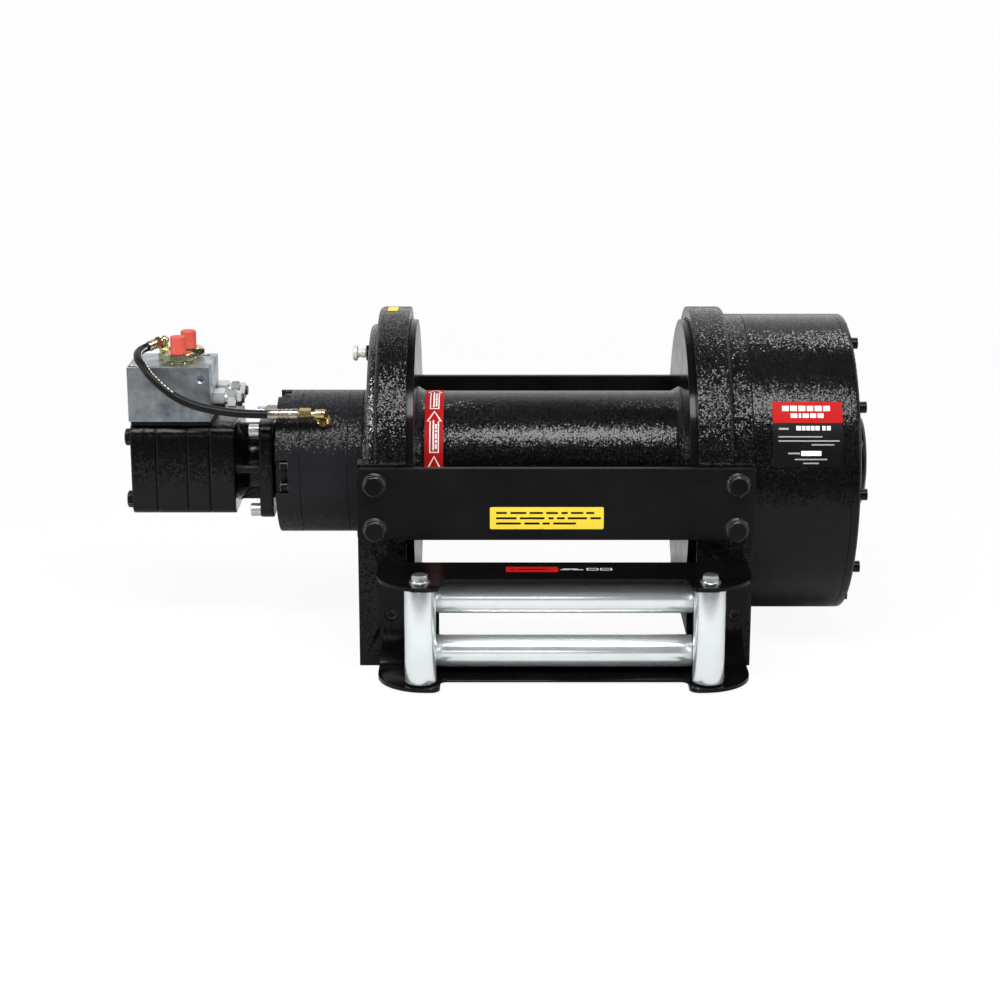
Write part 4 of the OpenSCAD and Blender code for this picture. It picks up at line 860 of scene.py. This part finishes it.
brakeFittingSettings = {
    "hose": hoseEnd, "root": (-362, 0, axleHeight), "portTurn": 135, "reach": 142.5,
    "seat": 0.05, "swivel": (50, 10, 19.5), "stem": (49, 78, 4.6), "block": (75, 90, 7.4), "knee": 8,
    # low and high end along the port, and radius, of each pipe
    "pipes": ((124, 142.5, 7), (116.6, 142.5, 6), (108.6, 116.6, 5.9)),
    "swivelLead": (0, 0.25, 1), "nut": (116.6, 12.2, 8), "nutLead": (0.3, -1, 1),
    "ring": (124.4, 126.5, 11.4), "ringSoft": 1,
}


def brakeFitting(settings):
    bm = bmesh.new()
    hose, root = Vector(settings["hose"]), Vector(settings["root"])
    turn = math.radians(settings["portTurn"])
    out = Vector((0, math.cos(turn), math.sin(turn)))
    elbow = root + out * settings["reach"]
    turned(bm, ferruleShape, hose + Vector((settings["seat"], 0, 0)), (1, 0, 0), 1)
    along, corner, height = settings["swivel"]
    hexagon(bm, hose + Vector((along, 0, 0)), (1, 0, 0), settings["swivelLead"], corner, height, both=True)
    for low, high, radius in (settings["stem"], settings["block"]):
        rod(bm, low, high, radius, hose, (1, 0, 0))
    ball(bm, settings["knee"], elbow, out)
    for low, high, radius in settings["pipes"]:
        rod(bm, low, high, radius, root, out)
    along, corner, height = settings["nut"]
    hexagon(bm, root + out * along, out, settings["nutLead"], corner, height)
    low, high, radius = settings["ring"]
    soft = settings["ringSoft"]
    turned(bm, [(low, 0), (low, radius), (high - soft, radius), (high, radius - soft), (high, 0)], root, out)
    addPiece(bm, "hoseFittingBrakeTurned", "winch_frame", [turnedBrass, crimpSteel],
             ["hose_fitting_brake"], sharp=28)


portFittings(portSettings)
portCaps(capSettings, portSettings["places"])
cartridge(cartridgeSettings)
brakeHose(hoseSettings)
topFitting(topFittingSettings)
brakeFitting(brakeFittingSettings)

print("knob and rollers")
knobPlace = (0, -60, 462)
knobShape = (
    # place along the drum axis and radius
    (-315, 0), (-315, 10.5), (-313.8, 12), (-312, 12.5), (-309, 12.3), (-307.6, 10.8), (-306.6, 7.4), (-304, 6.3),
    (-301, 6.6), (-299.4, 7.6), (-298, 8), (-296.2, 7.8), (-295.5, 7), (-295.5, 5), (-245.6, 5), (-245.6, 8),
    (-242.6, 8), (-242.6, 5), (-236.3, 5), (-236.3, 14), (-230.3, 14), (-230.3, 0),
)
rollerSettings = {
    # piece: node, body, base, axis, length, radius, bore
    "rollerLeftTube": ("roller_left", (-201, -356, 11.5), (0, 0, 1), 150, 24, 8.06),
    "rollerRightTube": ("roller_right", (237, -356, 11.5), (0, 0, 1), 150, 24, 8.06),
    "rollerUpperTube": ("roller_upper", (-180.5, -303, 130), (1, 0, 0), 397, 25, 12.06),
    "rollerLowerTube": ("roller_lower", (-180.5, -303, 43), (1, 0, 0), 397, 25, 12.06),
}
rollerBoltSettings = {
    "places": ((-201, -356), (237, -356)), "deck": fairleadDeck, "washer": 16, "washerThick": 2.5, "soft": 0.4,
    "springWasher": 12.6, "springThick": 2.4, "corner": 13.4, "height": 10, "lead": (1, 0.5, 0), "shank": 8, "low": 4,
}


def rollers(settings, soft=2.2):
    for name, (node, base, axis, length, radius, bore) in settings.items():
        bm = bmesh.new()
        rim = [(soft * math.sin(math.radians(a)), soft * (1 - math.cos(math.radians(a)))) for a in (0, 30, 60, 90)]
        low = [(soft - along, radius - inward) for along, inward in reversed(rim)]
        high = [(length - soft + along, radius - inward) for along, inward in rim]
        turned(bm, [(0, bore)] + low + high + [(length, bore), (0, bore)], base, axis, steps=96)
        addPiece(bm, name, node, [rollerZinc], [node], sharp=40)


def rollerBolts(settings):
    bm = bmesh.new()
    for x, y in settings["places"]:
        base = Vector((x, y, settings["deck"]))
        high, washer, soft = settings["washerThick"], settings["washer"], settings["soft"]
        turned(bm, [(0, 0), (0, washer), (high - soft, washer), (high, washer - soft), (high, 0)], base, (0, 0, 1))
        top = high + settings["springThick"]
        rod(bm, high, top, settings["springWasher"], base, (0, 0, 1))
        hexagon(bm, base + Vector((0, 0, top)), (0, 0, 1), settings["lead"], settings["corner"],
                settings["height"] - settings["springThick"])
        rod(bm, settings["low"] - settings["deck"], 0, settings["shank"], base, (0, 0, 1), steps=24)
    addPiece(bm, "rollerBoltsForged", "winch_frame", [brightZinc], ["roller_bolts"], sharp=25)


knob = bmesh.new()
turned(knob, knobShape, knobPlace, (1, 0, 0))
addPiece(knob, "dragKnobTurned", "drag_plunger", [knobWhite], ["drag_plunger"], sharp=40)
rollers(rollerSettings)
rollerBolts(rollerBoltSettings)

print("printed bands and plates")
bandSettings = {
    "left": -201, "right": -171, "radius": 115, "thick": 0.2, "middle": -185.5, "count": 9, "foot": 39.9,
    "length": 75.6, "head": 21.6, "headHalf": 12.4, "shaftHalf": 7.6, "line": 1.7, "tipLine": 2.6,
    "bar": (-2.6, 4, 0, 56), "marksAt": (1.6, 4.4), "marks": ((6, 14), (16, 21), (23, 32), (34, 38), (40, 49)),
    # how far the arrow, its middle and the bars stand over the band
    "rises": (0.08, 0.14, 0.2), "bend": 4, "wall": 1,
}


def arrowOutline(middle, foot, length, head, headHalf, shaftHalf):
    neck = foot + length - head
    return [(middle - shaftHalf, foot), (middle + shaftHalf, foot), (middle + shaftHalf, neck),
            (middle + headHalf, neck), (middle, foot + length), (middle - headHalf, neck), (middle - shaftHalf, neck)]


def drumBand(settings):
    bm = bmesh.new()
    left, right, radius, thick = (settings[key] for key in ("left", "right", "radius", "thick"))
    inside, outside = radius - settings["wall"], radius + thick
    turned(bm, [(left, inside), (left, outside), (right, outside), (right, inside), (left, inside)],
           (0, 0, axleHeight), (1, 0, 0), steps=192)
    bend = onRound(radius)
    pitch = math.tau * radius / settings["count"]
    line, middle, length = settings["line"], settings["middle"], settings["length"]
    head, headHalf, shaftHalf = settings["head"], settings["headHalf"], settings["shaftHalf"]
    outerLevel, innerLevel, barLevel = (thick + rise for rise in settings["rises"])
    for k in range(settings["count"]):
        foot = settings["foot"] + pitch * k
        cuts = between(foot - 1, foot + length + 1, settings["bend"])
        outer = arrowOutline(middle, foot, length, head, headHalf, shaftHalf)
        inner = arrowOutline(middle, foot + line, length - settings["tipLine"] * line, head - 2 * line,
                             headHalf - 2 * line, shaftHalf - line)
        field(bm, outer, 0, outerLevel, bend, 1, cuts)
        field(bm, inner, 0, innerLevel, bend, 0, cuts)
        left, low, right, high = settings["bar"]
        field(bm, boxOutline(middle + left, foot + low, middle + right, foot + high), 0, barLevel, bend, 1, cuts)
        left, right = settings["marksAt"]
        for low, high in settings["marks"]:
            field(bm, boxOutline(middle + left, foot + low, middle + right, foot + high), 0, barLevel, bend, 1, cuts)
    addPiece(bm, "drumBandPrinted", "drum", [printRed, printWhite])


plateSettings = {
    "yellow": (-95.5, 226, 79.5, 261), "yellowFace": -tiePlateFace, "corner": 2.4, "thick": 0.5,
    "rows": (
        # height over the plate's foot, then left and right end of each bar, from the plate's left end
        (25.8, ((9.5, 26), (31.5, 56), (61, 81.5), (86.5, 104.5), (110, 119.5), (124.5, 143.5), (148, 160.5))),
        (17.4, ((9.5, 41), (46, 84), (90, 98), (103, 115), (119.5, 149.5), (154.5, 170.5))),
        (9, ((9.5, 47.5), (53, 76.5), (81, 92), (97.5, 132.5))),
    ),
    "barHalf": 1.65, "rise": 0.05,
    "case": (341, 449), "caseRadius": 241.05, "caseTurns": (11.4, 36), "bend": 5,
}
caseFields = (
    # low and high over the plate's foot, colour and rise, then left and right of each field from the plate's left end
    (69, 103.5, 1, 0.05, ((0, 108),)),
    (88, 96.5, 3, 0.1, ((15, 25), (27.5, 38), (40.5, 51), (53.5, 63), (65.5, 76), (78.5, 89))),
    (77, 84, 3, 0.1, ((28, 38), (40.5, 44), (46.5, 55.5), (58, 67), (69.5, 78.5))),
    (58, 61, 4, 0.1, ((9, 24),)),
    (57, 64, 3, 0.1, ((36, 43), (44.5, 50), (51.5, 57), (58.5, 64), (65.5, 72), (76, 81), (83, 89))),
    (46, 48, 4, 0.1, ((8, 76),)),
    (39.5, 41.5, 4, 0.1, ((8, 102),)),
    (33.5, 35.5, 4, 0.1, ((59, 94),)),
    (20, 22.5, 4, 0.1, ((23, 41),)),
    (17.5, 25, 3, 0.1, ((43, 74),)),
    (11, 13, 4, 0.1, ((33, 83),)),
    (5, 7, 4, 0.1, ((46, 70),)),
)


def labelPlates(settings, fields):
    bm = bmesh.new()
    left, low, right, high = settings["yellow"]
    bend = onFront(settings["yellowFace"])
    thick = settings["thick"]
    field(bm, roundedBox(left, low, right, high, settings["corner"]), 0, thick, bend, 0)
    half = settings["barHalf"]
    for height, bars in settings["rows"]:
        for start, end in bars:
            field(bm, boxOutline(left + start, low + height - half, left + end, low + height + half), 0,
                  thick + settings["rise"], bend, 2)
    radius = settings["caseRadius"]
    bend = onRound(radius)
    foot, head = (math.radians(turn) * radius for turn in settings["caseTurns"])
    left, right = settings["case"]
    cuts = between(foot, head, settings["bend"])
    field(bm, roundedBox(left, foot, right, head, settings["corner"]), 0, thick, bend, 2, cuts)
    for low, high, tint, rise, spans in fields:
        for start, end in spans:
            field(bm, boxOutline(left + start, foot + low, left + end, min(foot + high, head)), 0, thick + rise,
                  bend, tint, cuts)
    addPiece(bm, "labelPlatesPrinted", "winch_frame",
             [printYellow, printRed, printBlack, printWhite, printGrey], ["label_plates"])


signSettings = {
    "deck": fairleadDeck, "thick": 0.15, "rise": 0.05, "red": (-71, -302, 9, -275), "redCorner": 2,
    "redMarks": ((-52, -291, -4, -286), (-64, -291, -58, -286)),
    "pale": ((12, -291, 28, -289), (31, -291, 48, -289), (16, -287, 40, -285)),
    "boxes": ((53, -293, 71, -282), (74, -293, 92, -282)), "boxLine": 1.6,
}
stickerSettings = {"left": -261, "right": -245, "turns": (86.4, 94.8), "radius": 253, "thick": 0.2, "bend": 5}


def smallSigns(settings, sticker):
    bm = bmesh.new()
    bend, thick = onLevel(settings["deck"]), settings["thick"]
    raised = thick + settings["rise"]
    field(bm, roundedBox(*settings["red"], settings["redCorner"]), 0, thick, bend, 1)
    for outline in settings["redMarks"]:
        field(bm, boxOutline(*outline), 0, raised, bend, 2)
    for outline in settings["pale"]:
        field(bm, boxOutline(*outline), 0, thick, bend, 3)
    line = settings["boxLine"]
    for left, low, right, high in settings["boxes"]:
        field(bm, boxOutline(left, low, right, high), 0, thick, bend, 3)
        field(bm, boxOutline(left + line, low + line, right - line, high - line), 0, raised, bend, 2)
    radius = sticker["radius"]
    low, high = (math.radians(turn) * radius for turn in sticker["turns"])
    field(bm, boxOutline(sticker["left"], low, sticker["right"], high), 0, sticker["thick"], onRound(radius), 0,
          between(low, high, sticker["bend"]))
    addPiece(bm, "smallSignsPrinted", "winch_frame", [printYellow, printRed, printBlack, printWhite])


drumBand(bandSettings)
labelPlates(plateSettings, caseFields)
smallSigns(signSettings, stickerSettings)

print("inner pieces")
keptNodes = (
    # a finish, and the CAD nodes that stay and take it
    (boltBlack, ("cap_screws", "plunger_body")),
    (bronzeBush, ("drum_bushes",)),
    (springSteel, ("brake_springs", "plunger_spring")),
    (liningBrown, ("friction_discs",)),
    (brightZinc, ("roller_pins", "rope_clamp")),
    (groundSteel, ("brake_separators", "shaft_bearings", "brake_piston", "drive_shaft", "motor_shaft",
                   "motor_idler_gear", "carrier_1", "carrier_2", "planet_1a", "planet_1b", "planet_1c",
                   "planet_2a", "planet_2b", "planet_2c")),
)
for material, nodeNames in keptNodes:
    for nodeName in nodeNames:
        slots = nodes[nodeName].data.materials
        slots.clear()
        slots.append(material)

print("done")
